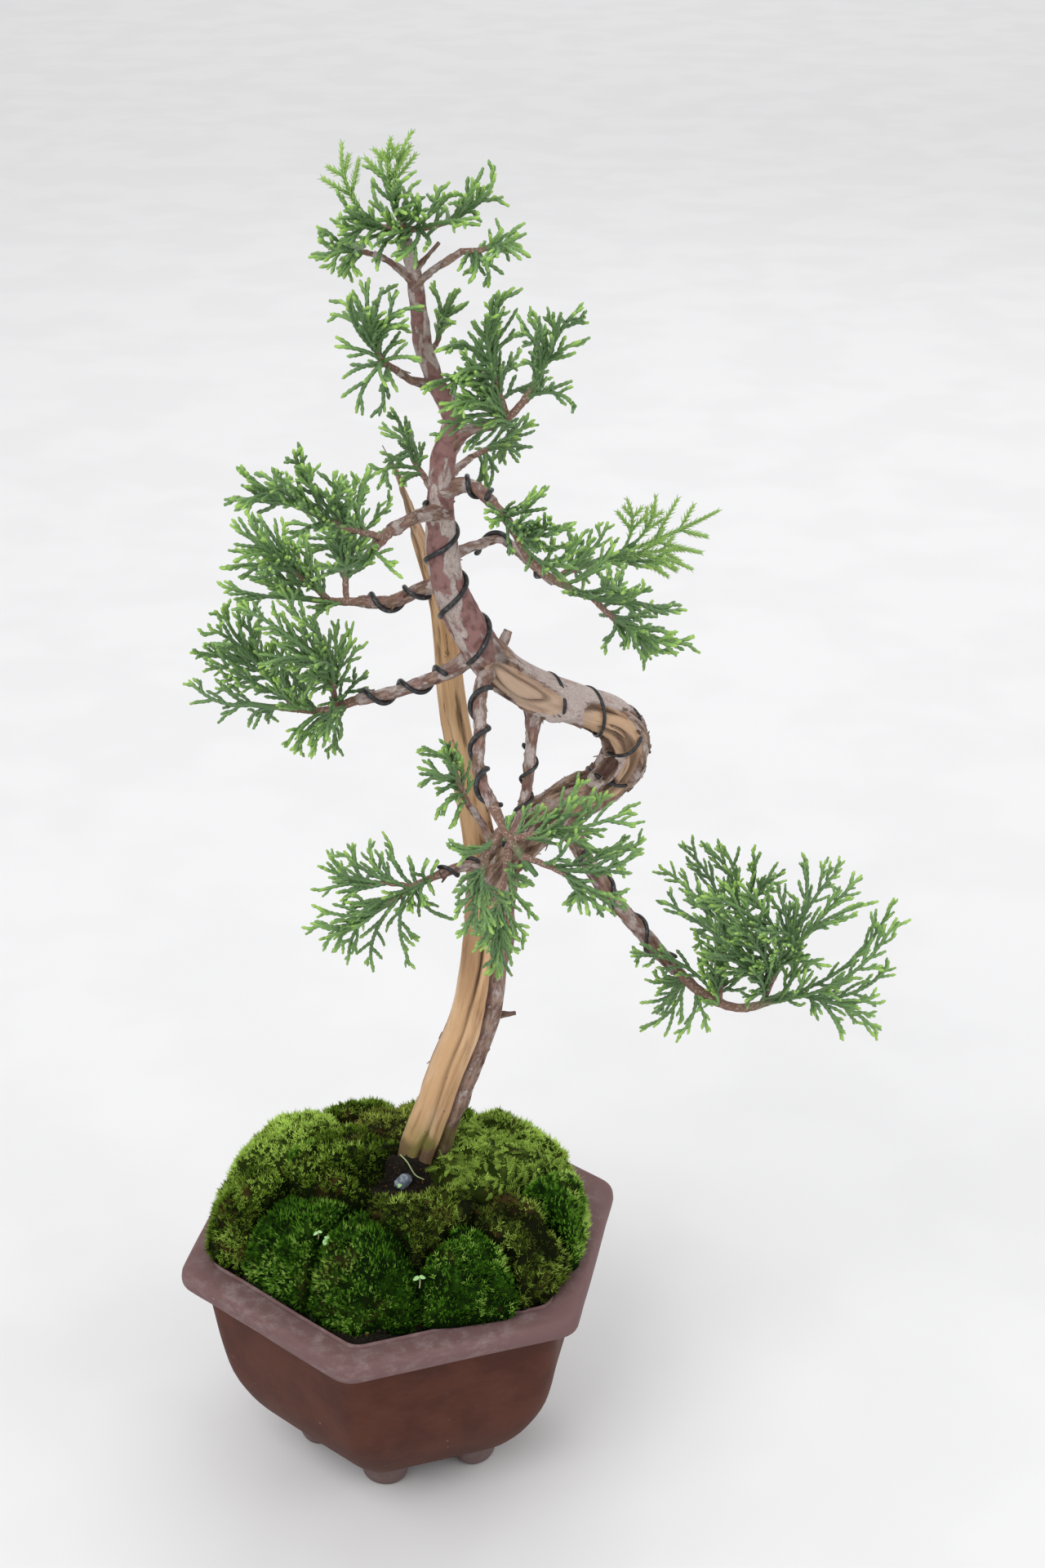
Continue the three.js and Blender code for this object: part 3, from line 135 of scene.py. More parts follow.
BRANCH_ROUTES = {
    "jin": [
        (30, 3, 198, 6), (28, 7, 212, 5.4), (26, 9, 226, 4.8), (23, 10, 243, 4.5),
        (20, 11, 258, 4.4), (18, 12, 272, 4.3), (17, 13, 286, 4), (15, 14, 300, 3.4),
        (11, 15, 314, 2.8), (7, 16, 326, 2.1), (4, 17, 337, 1.3), (-1, 18, 347, 0.5),
    ],
    "low_left": [(32, 2, 215, 3.4), (24, -6, 220, 2.4), (15, -12, 220, 2.2)],
    "low_right": [
        (53, 8, 231, 4), (59, 6, 218, 3.2), (68, 4, 204, 3), (79, 3, 190, 2.9), (89, 2, 178, 2.7),
    ],
    "mid_left": [
        (27, -11, 293, 3.4), (19, -10, 287, 2.9), (10, -8, 282, 2.6), (1, -6, 278, 2.5),
        (-9, -4, 275, 2.3),
    ],
    "upper_left": [(19, -13, 316, 3.2), (11, -8, 312, 2.8), (2, -3, 306, 2.6), (-8, 2, 304, 2.3)],
    "front_left": [(18, -15, 338, 3), (11, -24, 340, 2.6), (4, -38, 341, 2.4)],
    "front_hang": [
        (31, -13, 290, 3.6), (28, -24, 286, 3.1), (28, -36, 278, 2.8), (28, -48, 272, 2.6),
        (32, -60, 267, 2.5),
    ],
    "mid_hang": [
        (44, -7, 274, 3.4), (43, -10, 265, 2.4), (42, -12, 254, 2.2), (40, -16, 243, 2.1),
        (36, -22, 234, 2),
    ],
    "right_a": [(18, -15, 345, 3), (26, -18, 347, 2.6), (32, -24, 344, 2.3)],
    "right_b": [
        (18, -13, 324, 2.8), (26, -8, 325, 2.2), (34, -2, 325, 2), (41, 4, 317, 1.9),
        (49, 8, 308, 1.8),
    ],
    "top_right": [(20, -15, 358, 2.8), (25, -18, 363, 2.3), (32, -22, 366, 2)],
    "top_back": [(18, -14, 346, 2), (21, -5, 347, 1.5), (25, 4, 348, 1.4)],
    "top_left_low": [(17, -14, 341, 2), (13, -8, 345, 1.4)],
    "top_left": [(15, -17, 376, 2), (10, -20, 378, 1.6), (6, -24, 382, 1.4)],
    "leader_right": [(14, -18, 382, 1.8), (15, -12, 384, 1.3)],
    "crown_right": [(11, -20, 404, 1.6), (16, -22, 409, 1.4), (24, -26, 415, 1.2)],
    "crown_left": [(11, -20, 406, 1.6), (5, -18, 410, 1.3), (0, -16, 412, 1.1)],
    "twig_mid": [(32, 2, 219, 2.2), (28, -6, 234, 1.5), (24, -9, 242, 1.3)],
    "stub_low": [(30, 0, 162, 1.6), (38, 2, 162, 0.9)],
    "stub_knob": [(32, -11, 290, 2.8), (36, -8, 299, 1.7)],
    "stub_crown": [(10, -20, 407, 1.4), (14, -22, 412, 1.1), (18, -24, 417, 0.8)],
}
WOOD_ROUTES = {"trunk": TRUNK_ROUTE, **BRANCH_ROUTES}

# Training wires, two on the trunk and the others on the branch of their name: where on it they
# start and end, their turns and radius, and the angle at which they start, in degrees.
WIRES = {
    "trunk_lower": (0.475, 0.62, 4, 0.7, 200),
    "trunk_upper": (0.675, 0.8, 3, 1, 240),
    "low_right": (0.2, 0.96, 2.8, 0.8, 60),
    "low_left": (0.45, 1, 1.3, 0.8, 10),
    "mid_left": (0.25, 1, 2.5, 1, 100),
    "upper_left": (0.25, 0.96, 1.8, 1, 40),
    "front_hang": (0.18, 1, 3, 1, 0),
    "mid_hang": (0.25, 1, 3.2, 0.7, 150),
    "right_a": (0.35, 0.96, 1.4, 0.9, 20),
    "right_b": (0.2, 1, 2.6, 0.9, 20),
}

# Foliage: for each spray how its shoots grow, its stems, each as its radius at both ends and its
# points, and the tip of every shoot. The first stem goes on from the end of the branch of its
# name. The last tips of some sprays are those of shoots too thin for the part's solids.
SPRAYS = {
    "low_right": ("full", [
        (2.6, 1.3, (99, 1, 169), (110, 0, 165), (120, -2, 169), (127, -3, 172), (138, -4, 170)),
        (1.6, 1, (103, 0, 168), (105, 8, 181), (108, 12, 188), (111, 15, 193)),
        (1.5, 1, (117, -1, 168), (120, -6, 181), (126, -8, 194)),
    ], [
        (74, -12, 191), (79, -8, 172), (79, 6, 154), (90, -6, 158), (83, -14, 212), (89, -22, 220),
        (94, -26, 220), (85, 34, 198), (92, 38, 204), (98, 24, 212), (103, 16, 216),
        (107, -4, 213), (113, 14, 215), (122, 22, 201), (105, -24, 206), (112, -28, 208),
        (121, -26, 203), (123, 8, 210), (129, 4, 217), (142, 16, 207), (147, 6, 210),
        (147, -14, 211), (157, 2, 204), (156, -8, 201), (158, 8, 176), (153, -8, 175),
        (154, -4, 158), (133, -8, 167), (94, -6, 194), (98, -4, 187), (104, -10, 199),
        (109, -1, 187), (114, 2, 189), (118, -9, 190), (122, -11, 197), (102, -11, 186),
        (114, -13, 189), (96, -1, 179), (111, 4, 176), (127, -4, 186),
    ]),
    "low_left": ("open", [
        (1.8, 1, (7, -14, 217), (0, -15, 212), (-8, -16, 207)),
        (1.2, 0.9, (7, -14, 217), (-2, -12, 217), (-12, -8, 215)),
    ], [
        (-7, 2, 225), (0, -8, 228), (-12, 6, 221), (-14, -14, 229), (-19, -2, 222),
        (-21, -18, 226), (-23, -8, 212), (-13, -28, 219), (12, -20, 229), (-25, -14, 204),
        (-22, -22, 214), (-21, -24, 204), (-18, -18, 196), (-14, -10, 189), (-7, -6, 184),
        (7, -22, 212), (11, -26, 217), (17, -16, 207),
    ]),
    "twig_mid": ("full", [(1.3, 0.9, (21, -12, 252), (19, -12, 259))], [
        (9, -16, 264), (16, -6, 260), (20, -18, 265), (22, -6, 257), (9, -4, 252), (9, -18, 253),
        (14, -12, 240), (17, -24, 248),
    ]),
    "front_hang": ("full", [
        (2.3, 1.2, (37, -70, 262), (44, -80, 256)),
        (1.5, 0.9, (37, -70, 262), (47, -74, 266), (57, -70, 260), (64, -66, 254)),
        (1.4, 0.9, (40, -76, 260), (51, -78, 256), (58, -72, 247)),
        (1.4, 0.9, (35, -66, 264), (30, -72, 257), (28, -72, 247)),
    ], [
        (53, -84, 282), (64, -60, 272), (70, -72, 272), (75, -60, 257), (72, -82, 264),
        (69, -64, 248), (69, -78, 247), (65, -62, 237), (58, -84, 246), (52, -70, 242),
        (46, -62, 269), (20, -80, 265), (22, -76, 234), (26, -62, 230), (32, -84, 240),
        (21, -60, 241),
    ]),
    "mid_hang": ("full", [
        (1.8, 0.9, (35, -28, 227), (33, -32, 220), (33, -33, 212)),
    ], [
        (30, -32, 196), (35, -26, 196), (39, -38, 207), (39, -24, 204), (42, -34, 211),
        (43, -26, 214), (26, -30, 205), (29, -42, 211), (41, -40, 231),
    ]),
    "mid_left": ("full", [
        (2.1, 1, (-19, -3, 271), (-28, -2, 271), (-37, 0, 271), (-43, 2, 271)),
        (1.4, 0.9, (-16, -3, 272), (-16, -10, 283), (-19, -12, 292)),
        (1.4, 0.9, (-28, -2, 271), (-36, 4, 279), (-41, 8, 285)),
    ], [
        (-58, -6, 291), (-61, 8, 276), (-51, -12, 301), (-49, 2, 302), (-55, 14, 285),
        (-43, -10, 308), (-42, 8, 302), (-31, 0, 310), (-40, 18, 292), (-51, -18, 294),
        (-16, 4, 296), (-14, 14, 288), (-9, -2, 294), (-22, 18, 284), (-17, -16, 297),
        (-19, -30, 297), (-24, -20, 307), (-30, -14, 264), (-29, -2, 256), (-22, -20, 266),
        (-43, 10, 261), (-17, -26, 272), (-35, 1, 291), (-30, 2, 294), (-26, -4, 289),
        (-21, -7, 294), (-32, -10, 285), (-24, -12, 285), (-19, -7, 284), (-37, -15, 290),
        (-29, -7, 278),
    ]),
    "upper_left": ("full", [
        (2.1, 1.1, (-17, 5, 303), (-29, 8, 303)),
        (1.4, 0.9, (-17, 5, 303), (-25, 2, 312), (-32, -2, 320)),
        (1.4, 0.9, (-12, 4, 303), (-13, 12, 312), (-15, 16, 321)),
    ], [
        (-44, -6, 331), (-40, 4, 331), (-38, 12, 328), (-48, 0, 315), (-43, -12, 322),
        (-50, 10, 306), (-44, 18, 315), (-31, 20, 322), (-15, 14, 336), (-8, 20, 336),
        (-5, 8, 338), (1, 26, 326), (-22, -4, 300), (-32, -16, 321), (-1, 12, 320), (-12, 28, 319),
        (-29, 1, 329), (-23, 5, 325), (-18, 5, 328), (-25, -2, 322), (-20, 6, 315),
    ]),
    "front_left": ("full", [
        (2.2, 1.2, (-1, -50, 339), (-4, -56, 337)),
        (1.5, 0.9, (2, -44, 341), (-8, -56, 349), (-18, -62, 356), (-26, -64, 361)),
    ], [
        (-33, -70, 369), (-37, -60, 358), (-29, -56, 364), (-23, -72, 370), (-16, -62, 368),
        (-19, -80, 371), (-10, -50, 362), (0, -60, 366), (-4, -76, 366), (-32, -74, 360),
        (6, -60, 339), (-11, -70, 344), (-17, -78, 353),
    ]),
    "right_a": ("full", [
        (2.1, 1.2, (38, -30, 338), (43, -34, 330), (52, -36, 324), (61, -38, 321), (72, -38, 320)),
        (1.4, 0.9, (60, -38, 321), (66, -36, 314), (72, -34, 310)),
    ], [
        (31, -36, 343), (46, -36, 352), (45, -20, 337), (48, -46, 348), (54, -52, 348),
        (57, -34, 339), (66, -30, 334), (53, -60, 342), (63, -58, 337), (74, -42, 327),
        (70, -56, 331), (69, -22, 325), (84, -42, 318), (89, -30, 306), (83, -46, 310),
        (76, -38, 303), (75, -26, 296), (77, -24, 313),
    ]),
    "right_b": ("full", [
        (1.7, 0.9, (55, 10, 311), (66, 12, 314), (74, 14, 318)),
    ], [
        (71, 10, 333), (80, 20, 330), (98, 14, 328), (90, 6, 313), (89, 24, 312), (82, -4, 318),
        (66, 24, 321), (66, 22, 299), (55, 18, 319),
    ]),
    "top_right": ("full", [
        (1.9, 1, (38, -26, 371), (44, -28, 380), (46, -30, 387)),
        (1.4, 0.9, (36, -25, 369), (33, -25, 379), (31, -26, 388)),
    ], [
        (38, -28, 406), (34, -18, 402), (31, -36, 401), (43, -22, 398), (27, -14, 388),
        (21, -24, 390), (40, -42, 398), (48, -34, 400), (54, -46, 404), (56, -30, 392),
        (46, -14, 383), (25, -36, 382), (25, -6, 378), (39, -8, 381), (23, -38, 376),
        (13, -38, 381), (22, -42, 385), (18, -40, 392), (20, -44, 377), (17, -40, 368),
    ]),
    "top_back": ("open", [(1.3, 0.9, (31, 10, 349), (37, 14, 351))], [
        (44, 16, 354), (42, 24, 355), (39, 4, 354), (38, 26, 344), (31, 14, 337), (29, 4, 343),
        (31, 24, 340),
    ]),
    "top_left_low": ("open", [(1.3, 0.9, (9, -4, 350), (7, -2, 354))], [
        (3, -6, 366), (-1, 4, 357), (9, -14, 362), (-1, -14, 349), (-1, 2, 340),
    ]),
    "top_left": ("lean", [
        (1.4, 0.9, (2, -27, 386), (0, -28, 391), (-1, -28, 395)),
    ], [
        (-9, -26, 402), (-5, -38, 407), (-12, -18, 396), (-10, -32, 391), (-4, -14, 396),
        (0, -44, 405), (7, -38, 398), (-1, -22, 407), (-8, -22, 380), (-5, -30, 372),
        (2, -10, 401), (4, -42, 383), (13, -36, 389), (10, -34, 397), (4, -34, 401),
        (14, -32, 402),
    ]),
    "leader_right": ("open", [(1.2, 0.9, (17, -10, 387), (17, -10, 391))], [
        (15, -4, 401), (23, -14, 402), (24, -4, 395), (21, -22, 395),
    ]),
    "crown_right": ("open", [(1.2, 0.9, (29, -28, 416), (35, -30, 418))], [
        (35, -22, 420), (39, -34, 422), (40, -20, 415), (42, -30, 415), (31, -24, 405),
        (31, -42, 417), (25, -14, 407), (27, -36, 410),
    ]),
    "crown_left": ("open", [(1.1, 0.9, (-5, -16, 413), (-9, -16, 413))], [
        (-15, -14, 416), (-13, -20, 411), (-10, -8, 404), (-8, -4, 418), (-10, -32, 418),
        (-4, -24, 408), (-5, 0, 413),
    ]),
    "trunk": ("open", [
        (1.4, 1, (8, -22, 422), (6, -22, 426)),
        (1.2, 0.9, (8, -21, 420), (15, -20, 420), (22, -18, 422), (28, -18, 426)),
        (1.2, 0.9, (8, -21, 420), (2, -22, 421), (-2, -22, 423)),
    ], [
        (11, -20, 445), (6, -28, 445), (2, -14, 438), (-7, -24, 443), (13, -32, 431),
        (16, -12, 427), (33, -18, 434), (25, -30, 431), (27, -8, 427), (30, -24, 432),
        (26, -36, 425), (-7, -30, 431), (0, -12, 430), (-4, -38, 430), (-8, -28, 421),
        (11, -36, 437), (-1, -30, 418), (4, -28, 426), (7, -36, 415), (-3, -24, 423),
        (10, -34, 427), (2, -34, 412), (15, -36, 419), (9, -30, 431), (-5, -20, 430),
    ]),
}


# Plain geometry, in millimetres.


def unit(v):
    """Vectors at length one."""
    return v / np.maximum(np.linalg.norm(v, axis=-1, keepdims=True), 1e-9)


def rise(x, low, high):
    """0 below low, 1 above high and smooth between them."""
    t = np.clip((x - low) / (high - low), 0, 1)
    return t * t * (3 - 2 * t)


def near(x, middle, half):
    """1 at middle and 0 from half away on."""
    return 1 - rise(np.abs(x - middle), 0, half)


# Large odd numbers, which mix the bits of a place and a seed.
LARGE_ODDS = (374761393, 668265263, 1440662683, 974711, 1274126177)


def lattice(cell, seed):
    """A steady random number from 0 to 1 for each whole-numbered place."""
    mixed = sum(cell[..., k] * odd for k, odd in enumerate(LARGE_ODDS[:3]))
    mixed = (mixed + seed * LARGE_ODDS[3]) & 0xFFFFFFFF
    mixed = ((mixed ^ (mixed >> 13)) * LARGE_ODDS[4]) & 0xFFFFFFFF
    return ((mixed ^ (mixed >> 16)) & 0xFFFF) / 65535


def noise(points, size, seed=0):
    """Smooth noise from -1 to 1 whose lumps are about size across."""
    q = np.asarray(points, float) / size
    cell = np.floor(q).astype(np.int64)
    f = q - cell
    f = f * f * (3 - 2 * f)
    total = 0
    for corner in np.ndindex(2, 2, 2):
        weight = np.prod(np.where(corner, f, 1 - f), axis=-1)
        total = total + weight * lattice(cell + corner, seed)
    return 2 * total - 1


def rough(points, size, seed=0, octaves=3):
    """Noise with finer noise on it."""
    return sum(noise(points, size / 2**k, seed + k) * 0.5**k for k in range(octaves))


def curve_rows(rows, t):
    """Rows at t, from 0 to 1, on the smooth curve through rows that the part's source draws."""
    ends = np.vstack([2 * rows[0] - rows[1], rows, 2 * rows[-1] - rows[-2]])
    place = np.clip(t, 0, 1) * (len(rows) - 1)
    k = np.minimum(place.astype(int), len(rows) - 2)
    w = (place - k)[:, None]
    a, b, c, d = (ends[k + i] for i in range(4))
    go, stop = 0.5 * (c - a), 0.5 * (d - b)
    return b + go * w + (3 * (c - b) - 2 * go - stop) * w**2 + (2 * (b - c) + go + stop) * w**3


def turned(v, axis, angle):
    """v turned about an axis at length one."""
    c, s = math.cos(angle), math.sin(angle)
    return v * c + np.cross(axis, v) * s + axis * np.dot(axis, v) * (1 - c)


def bezier(a, b, c, t):
    """Places on the curve that leaves a towards b and ends at c."""
    return (1 - t) ** 2 * a + 2 * t * (1 - t) * b + t * t * c


def heading(a, b, c, t):
    """The direction along that curve."""
    return unit((1 - t) * (b - a) + t * (c - b))


def turns(count):
    """Angles of count corners evenly round a ring."""
    return np.linspace(0, 2 * math.pi, count, endpoint=False)


# The corners of a thin stem's rings.
EIGHTHS = turns(8)


class Route:
    """Evenly spaced stations on a smooth curve: points, radii, directions and a carried frame."""

    def __init__(self, rows, step):
        rows = np.array(rows, float)
        fine = np.linspace(0, 1, 401)
        path = curve_rows(rows, fine)[:, :3]
        run = np.concatenate([[0], np.cumsum(np.linalg.norm(np.diff(path, axis=0), axis=1))])
        self.length = run[-1]
        self.along = np.linspace(0, self.length, max(2, round(self.length / step)) + 1)
        t = np.interp(self.along, run, fine)
        at = curve_rows(rows, t)
        self.points, self.radius = at[:, :3], at[:, 3]
        ahead, behind = (curve_rows(rows, t + shift)[:, :3] for shift in (1e-4, -1e-4))
        self.direction = unit(ahead - behind)
        self.carry()

    def carry(self):
        """Carries one sideways direction along without twist."""
        side = np.array([0.0, 1, 0] if abs(self.direction[0][0]) > 0.9 else [1.0, 0, 0])
        sides = []
        for direction in self.direction:
            side = unit(side - np.dot(side, direction) * direction)
            sides.append(side)
        self.side = np.array(sides)
        self.up = np.cross(self.direction, self.side)

    def outward(self, angles):
        """Directions out from each station (rows) at each angle (columns)."""
        a = np.asarray(angles)[..., None]
        return np.cos(a) * self.side[:, None] + np.sin(a) * self.up[:, None]

    def skin(self, reach, angles):
        """Rings of points that reach out from the stations, at each angle."""
        return self.points[:, None] + reach[..., None] * self.outward(angles)


def between(values, place):
    """Rows of values at station numbers that needn't be whole."""
    k = np.minimum(place.astype(int), len(values) - 2)
    w = (place - k).reshape((-1,) + (1,) * (values.ndim - 1))
    return values[k] * (1 - w) + values[k + 1] * w


def ring_quads(rings, sides):
    """Four-cornered faces between rings that follow each other."""
    i = np.arange(rings - 1)[:, None] * sides
    j = np.arange(sides)
    k = (j + 1) % sides
    return np.stack([i + j, i + k, i + sides + k, i + sides + j], -1).reshape(-1, 4)


def fan(middle, ring, flip=False):
    """Three-cornered faces from a ring of point numbers to one point."""
    ring = np.asarray(ring)
    after = np.roll(ring, -1)
    pair = (after, ring) if flip else (ring, after)
    return np.stack([*pair, np.full(len(ring), middle)], -1)


def spread(value, count):
    """A value for each of count points."""
    value = np.asarray(value, np.float32)
    if value.size == 3 * count:
        return value.reshape(count, 3)
    return np.broadcast_to(value.reshape(-1), count)


class Shape:
    """Gathers points, faces and values at the points, and makes a piece of them."""

    def __init__(self):
        self.points = []
        self.faces = []
        self.values = []
        self.count = 0

    def add(self, points, faces, **values):
        """Adds points, faces that number them from 0, and one number or triple for each point."""
        points = np.asarray(points, float).reshape(-1, 3)
        self.points.append(points)
        self.values.append(values)
        self.faces += [np.asarray(group) + self.count for group in faces]
        self.count += len(points)

    def tube(self, skin, **values):
        """Adds rings of points, shaped (rings, sides, 3), with their ends closed."""
        rings, sides = skin.shape[:2]
        points = skin.reshape(-1, 3)
        faces = [ring_quads(rings, sides)]
        flat = {}
        for key, value in values.items():
            full = np.broadcast_to(value, skin.shape[:2] + np.shape(value)[2:])
            flat[key] = full.reshape((-1,) + full.shape[2:])
        for end in (0, rings - 1):
            middle = len(points)
            points = np.vstack([points, skin[end].mean(axis=0)])
            flat = {k: np.concatenate([v, v[end * sides : end * sides + 1]]) for k, v in flat.items()}
            ring = end * sides + np.arange(sides)
            faces.append(fan(middle, ring, flip=end == 0))
        self.add(points, faces, **flat)

    def piece(self, name, material, slot, nodes=()):
        """The finished piece, riding on the frame in place of the solids that it stands for."""
        mesh = bpy.data.meshes.new(name)
        points = np.concatenate(self.points) * MM + POT_AXIS
        corners = np.concatenate([group.ravel() for group in self.faces])
        sizes = np.concatenate([np.full(len(group), group.shape[1]) for group in self.faces])
        mesh.vertices.add(len(points))
        mesh.vertices.foreach_set("co", points.astype(np.float32).ravel())
        mesh.loops.add(len(corners))
        mesh.loops.foreach_set("vertex_index", corners.astype(np.int32))
        mesh.polygons.add(len(sizes))
        mesh.polygons.foreach_set("loop_start", (np.cumsum(sizes) - sizes).astype(np.int32))
        mesh.polygons.foreach_set("use_smooth", np.ones(len(sizes), bool))
        mesh.update(calc_edges=True)
        for key in sorted({key for values in self.values for key in values}):
            parts = zip(self.values, self.points)
            value = np.concatenate([spread(values.get(key, 0), len(p)) for values, p in parts])
            kind, field = ("FLOAT_VECTOR", "vector") if value.ndim == 2 else ("FLOAT", "value")
            mesh.attributes.new(key, kind, "POINT").data.foreach_set(field, value.ravel())
        mesh.validate()
        mesh.materials.append(material)
        made = bpy.data.objects.new(name, mesh)
        bpy.context.scene.collection.objects.link(made)
        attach(made, "root")
        if nodes:
            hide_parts(*nodes)
        return made


# Shader maths.


class Shade:
    """A node's output that takes part in ordinary sums."""

    def __init__(self, finish, socket):
        self.finish = finish
        self.socket = socket

    def sum(self, operation, *values):
        return self.finish.node("ShaderNodeMath", {"operation": operation}, dict(enumerate(values)))

    def __add__(self, other):
        return self.sum("ADD", self, other)

    def __sub__(self, other):
        return self.sum("SUBTRACT", self, other)

    def __mul__(self, other):
        return self.sum("MULTIPLY", self, other)

    def __rsub__(self, other):
        return self.sum("SUBTRACT", other, self)

    def __abs__(self):
        return self.sum("ABSOLUTE", self)

    __radd__ = __add__
    __rmul__ = __mul__

    def rise(self, low, high):
        """0 below low, 1 above high, smooth between; falls instead where high is the lower."""
        sockets = {"Value": self, "From Min": low, "From Max": high}
        return self.finish.node("ShaderNodeMapRange", {"interpolation_type": "SMOOTHSTEP"}, sockets)


class Finish:
    """A procedural material under construction."""

    def __init__(self, name):
        self.material = bpy.data.materials.new(name)
        self.material.use_nodes = True
        self.tree = self.material.node_tree
        self.tree.nodes.clear()

    def node(self, kind, settings, sockets, output=0):
        """A node with its settings, then the values or links of its sockets; gives an output."""
        made = self.tree.nodes.new(kind)
        for name, value in settings.items():
            setattr(made, name, value)
        for key, value in sockets.items():
            if isinstance(value, Shade):
                self.tree.links.new(value.socket, made.inputs[key])
            else:
                made.inputs[key].default_value = value
        return Shade(self, made.outputs[output])

    def place(self, stretch=(1, 1, 1)):
        """The place on the object in millimetres, stretched."""
        spot = self.node("ShaderNodeTexCoord", {}, {}, "Object")
        return self.times(spot, [s / MM for s in stretch])

    def times(self, vector, by):
        return self.node("ShaderNodeVectorMath", {"operation": "MULTIPLY"}, {0: vector, 1: by})

    def value(self, name, output="Fac"):
        """A value that the mesh holds at its points."""
        return self.node("ShaderNodeAttribute", {"attribute_name": name}, {}, output)

    def noise(self, vector, size, detail=3.0, roughness=0.55):
        """Noise about 0.5 whose lumps are about size across."""
        sockets = {"Vector": vector, "Scale": 1 / size, "Detail": detail, "Roughness": roughness}
        return self.node("ShaderNodeTexNoise", {}, sockets, "Fac")

    def cells(self, vector, size):
        """Distance within cells that are about size across."""
        return self.node("ShaderNodeTexVoronoi", {}, {"Vector": vector, "Scale": 1 / size}, "Distance")

    def mix(self, a, b, factor):
        """Colour a where factor is 0 and colour b where it is 1."""
        def opaque(c):
            return c if isinstance(c, Shade) else (*c[:3], 1)
        sockets = {0: factor, 6: opaque(a), 7: opaque(b)}
        return self.node("ShaderNodeMix", {"data_type": "RGBA"}, sockets, 2)

    def done(self, height=None, depth=0.2, strength=1.0, **sockets):
        """The material, from its shader's sockets and a height in shares of depth millimetres."""
        sockets = {key.replace("_", " "): value for key, value in sockets.items()}
        if height is not None:
            bump = {"Strength": strength, "Distance": depth * MM, "Height": height}
            sockets["Normal"] = self.node("ShaderNodeBump", {}, bump)
        shader = self.node("ShaderNodeBsdfPrincipled", {}, sockets)
        out = self.tree.nodes.new("ShaderNodeOutputMaterial")
        self.tree.links.new(shader.socket, out.inputs["Surface"])
        return self.material


# The pot.

RING_SHARES = np.linspace(-1, 1, 22, endpoint=False) + 1 / 22
RING_OFF = np.tile(np.sign(RING_SHARES) * np.abs(RING_SHARES) ** 1.7 * math.pi / 6, 6)
RING_ANGLES = POT_TURN + np.repeat(np.arange(6) * math.pi / 3, len(RING_SHARES)) + RING_OFF


def hex_reach(off, reach, rounding):
    """How far a hexagon with rounded corners reaches at an angle off its nearest corner."""
    middle = reach - rounding
    flat = middle * math.cos(math.pi / 6) + rounding
    touch = np.arctan2(rounding / 2, middle + rounding * math.cos(math.pi / 6))
    arc = np.sqrt(np.maximum(rounding**2 - (middle * np.sin(off)) ** 2, 0))
    return np.where(off < touch, middle * np.cos(off) + arc, flat / np.cos(math.pi / 6 - off))


def hex_rings(rows):
    """Rings of points round the axis, for rows of height, reach and rounding."""
    z, reach, rounding = np.array(rows, float).T[:, :, None]
    r = hex_reach(np.abs(RING_OFF), reach, rounding)
    return np.stack([r * np.cos(RING_ANGLES), r * np.sin(RING_ANGLES), z + 0 * r], -1)


def pot_finish(looks):
    f = Finish("fired_clay")
    place = f.place()
    fine = f.noise(place, 0.7, detail=4)
    cloud = f.noise(place, 16, detail=3)
    smear = f.noise(f.place((1, 1, 2.2)), 5, detail=5, roughness=0.65)
    clay = f.mix(looks.clay, looks.clay_deep, cloud.rise(0.35, 0.68))
    clay = f.mix(clay, looks.lip, f.value("lip"))
    clay = f.mix(clay, looks.foot, f.value("foot"))
    bloom = f.value("bloom") * smear.rise(0.4, 0.75) * (0.45 + 0.55 * fine.rise(0.3, 0.6))
    bloom = bloom * looks.bloom_share
    clay = f.mix(clay, looks.bloom, bloom)
    speck = f.cells(place, 5.5).rise(0.09, 0.05) * f.noise(place, 21).rise(0.5, 0.6) * 0.5
    clay = f.mix(clay, looks.bloom, speck * fine.rise(0.35, 0.6))
    clay = f.mix(clay, looks.clay_deep, fine.rise(0.62, 0.75) * 0.35)
    height = fine * 0.5 + smear + f.noise(place, 2.4) * 0.7
    gloss = 0.5 + smear * 0.16 + bloom * 0.3
    return f.done(height, depth=0.25, strength=0.5, Base_Color=clay, Roughness=gloss,
                  Specular_IOR_Level=0.1)


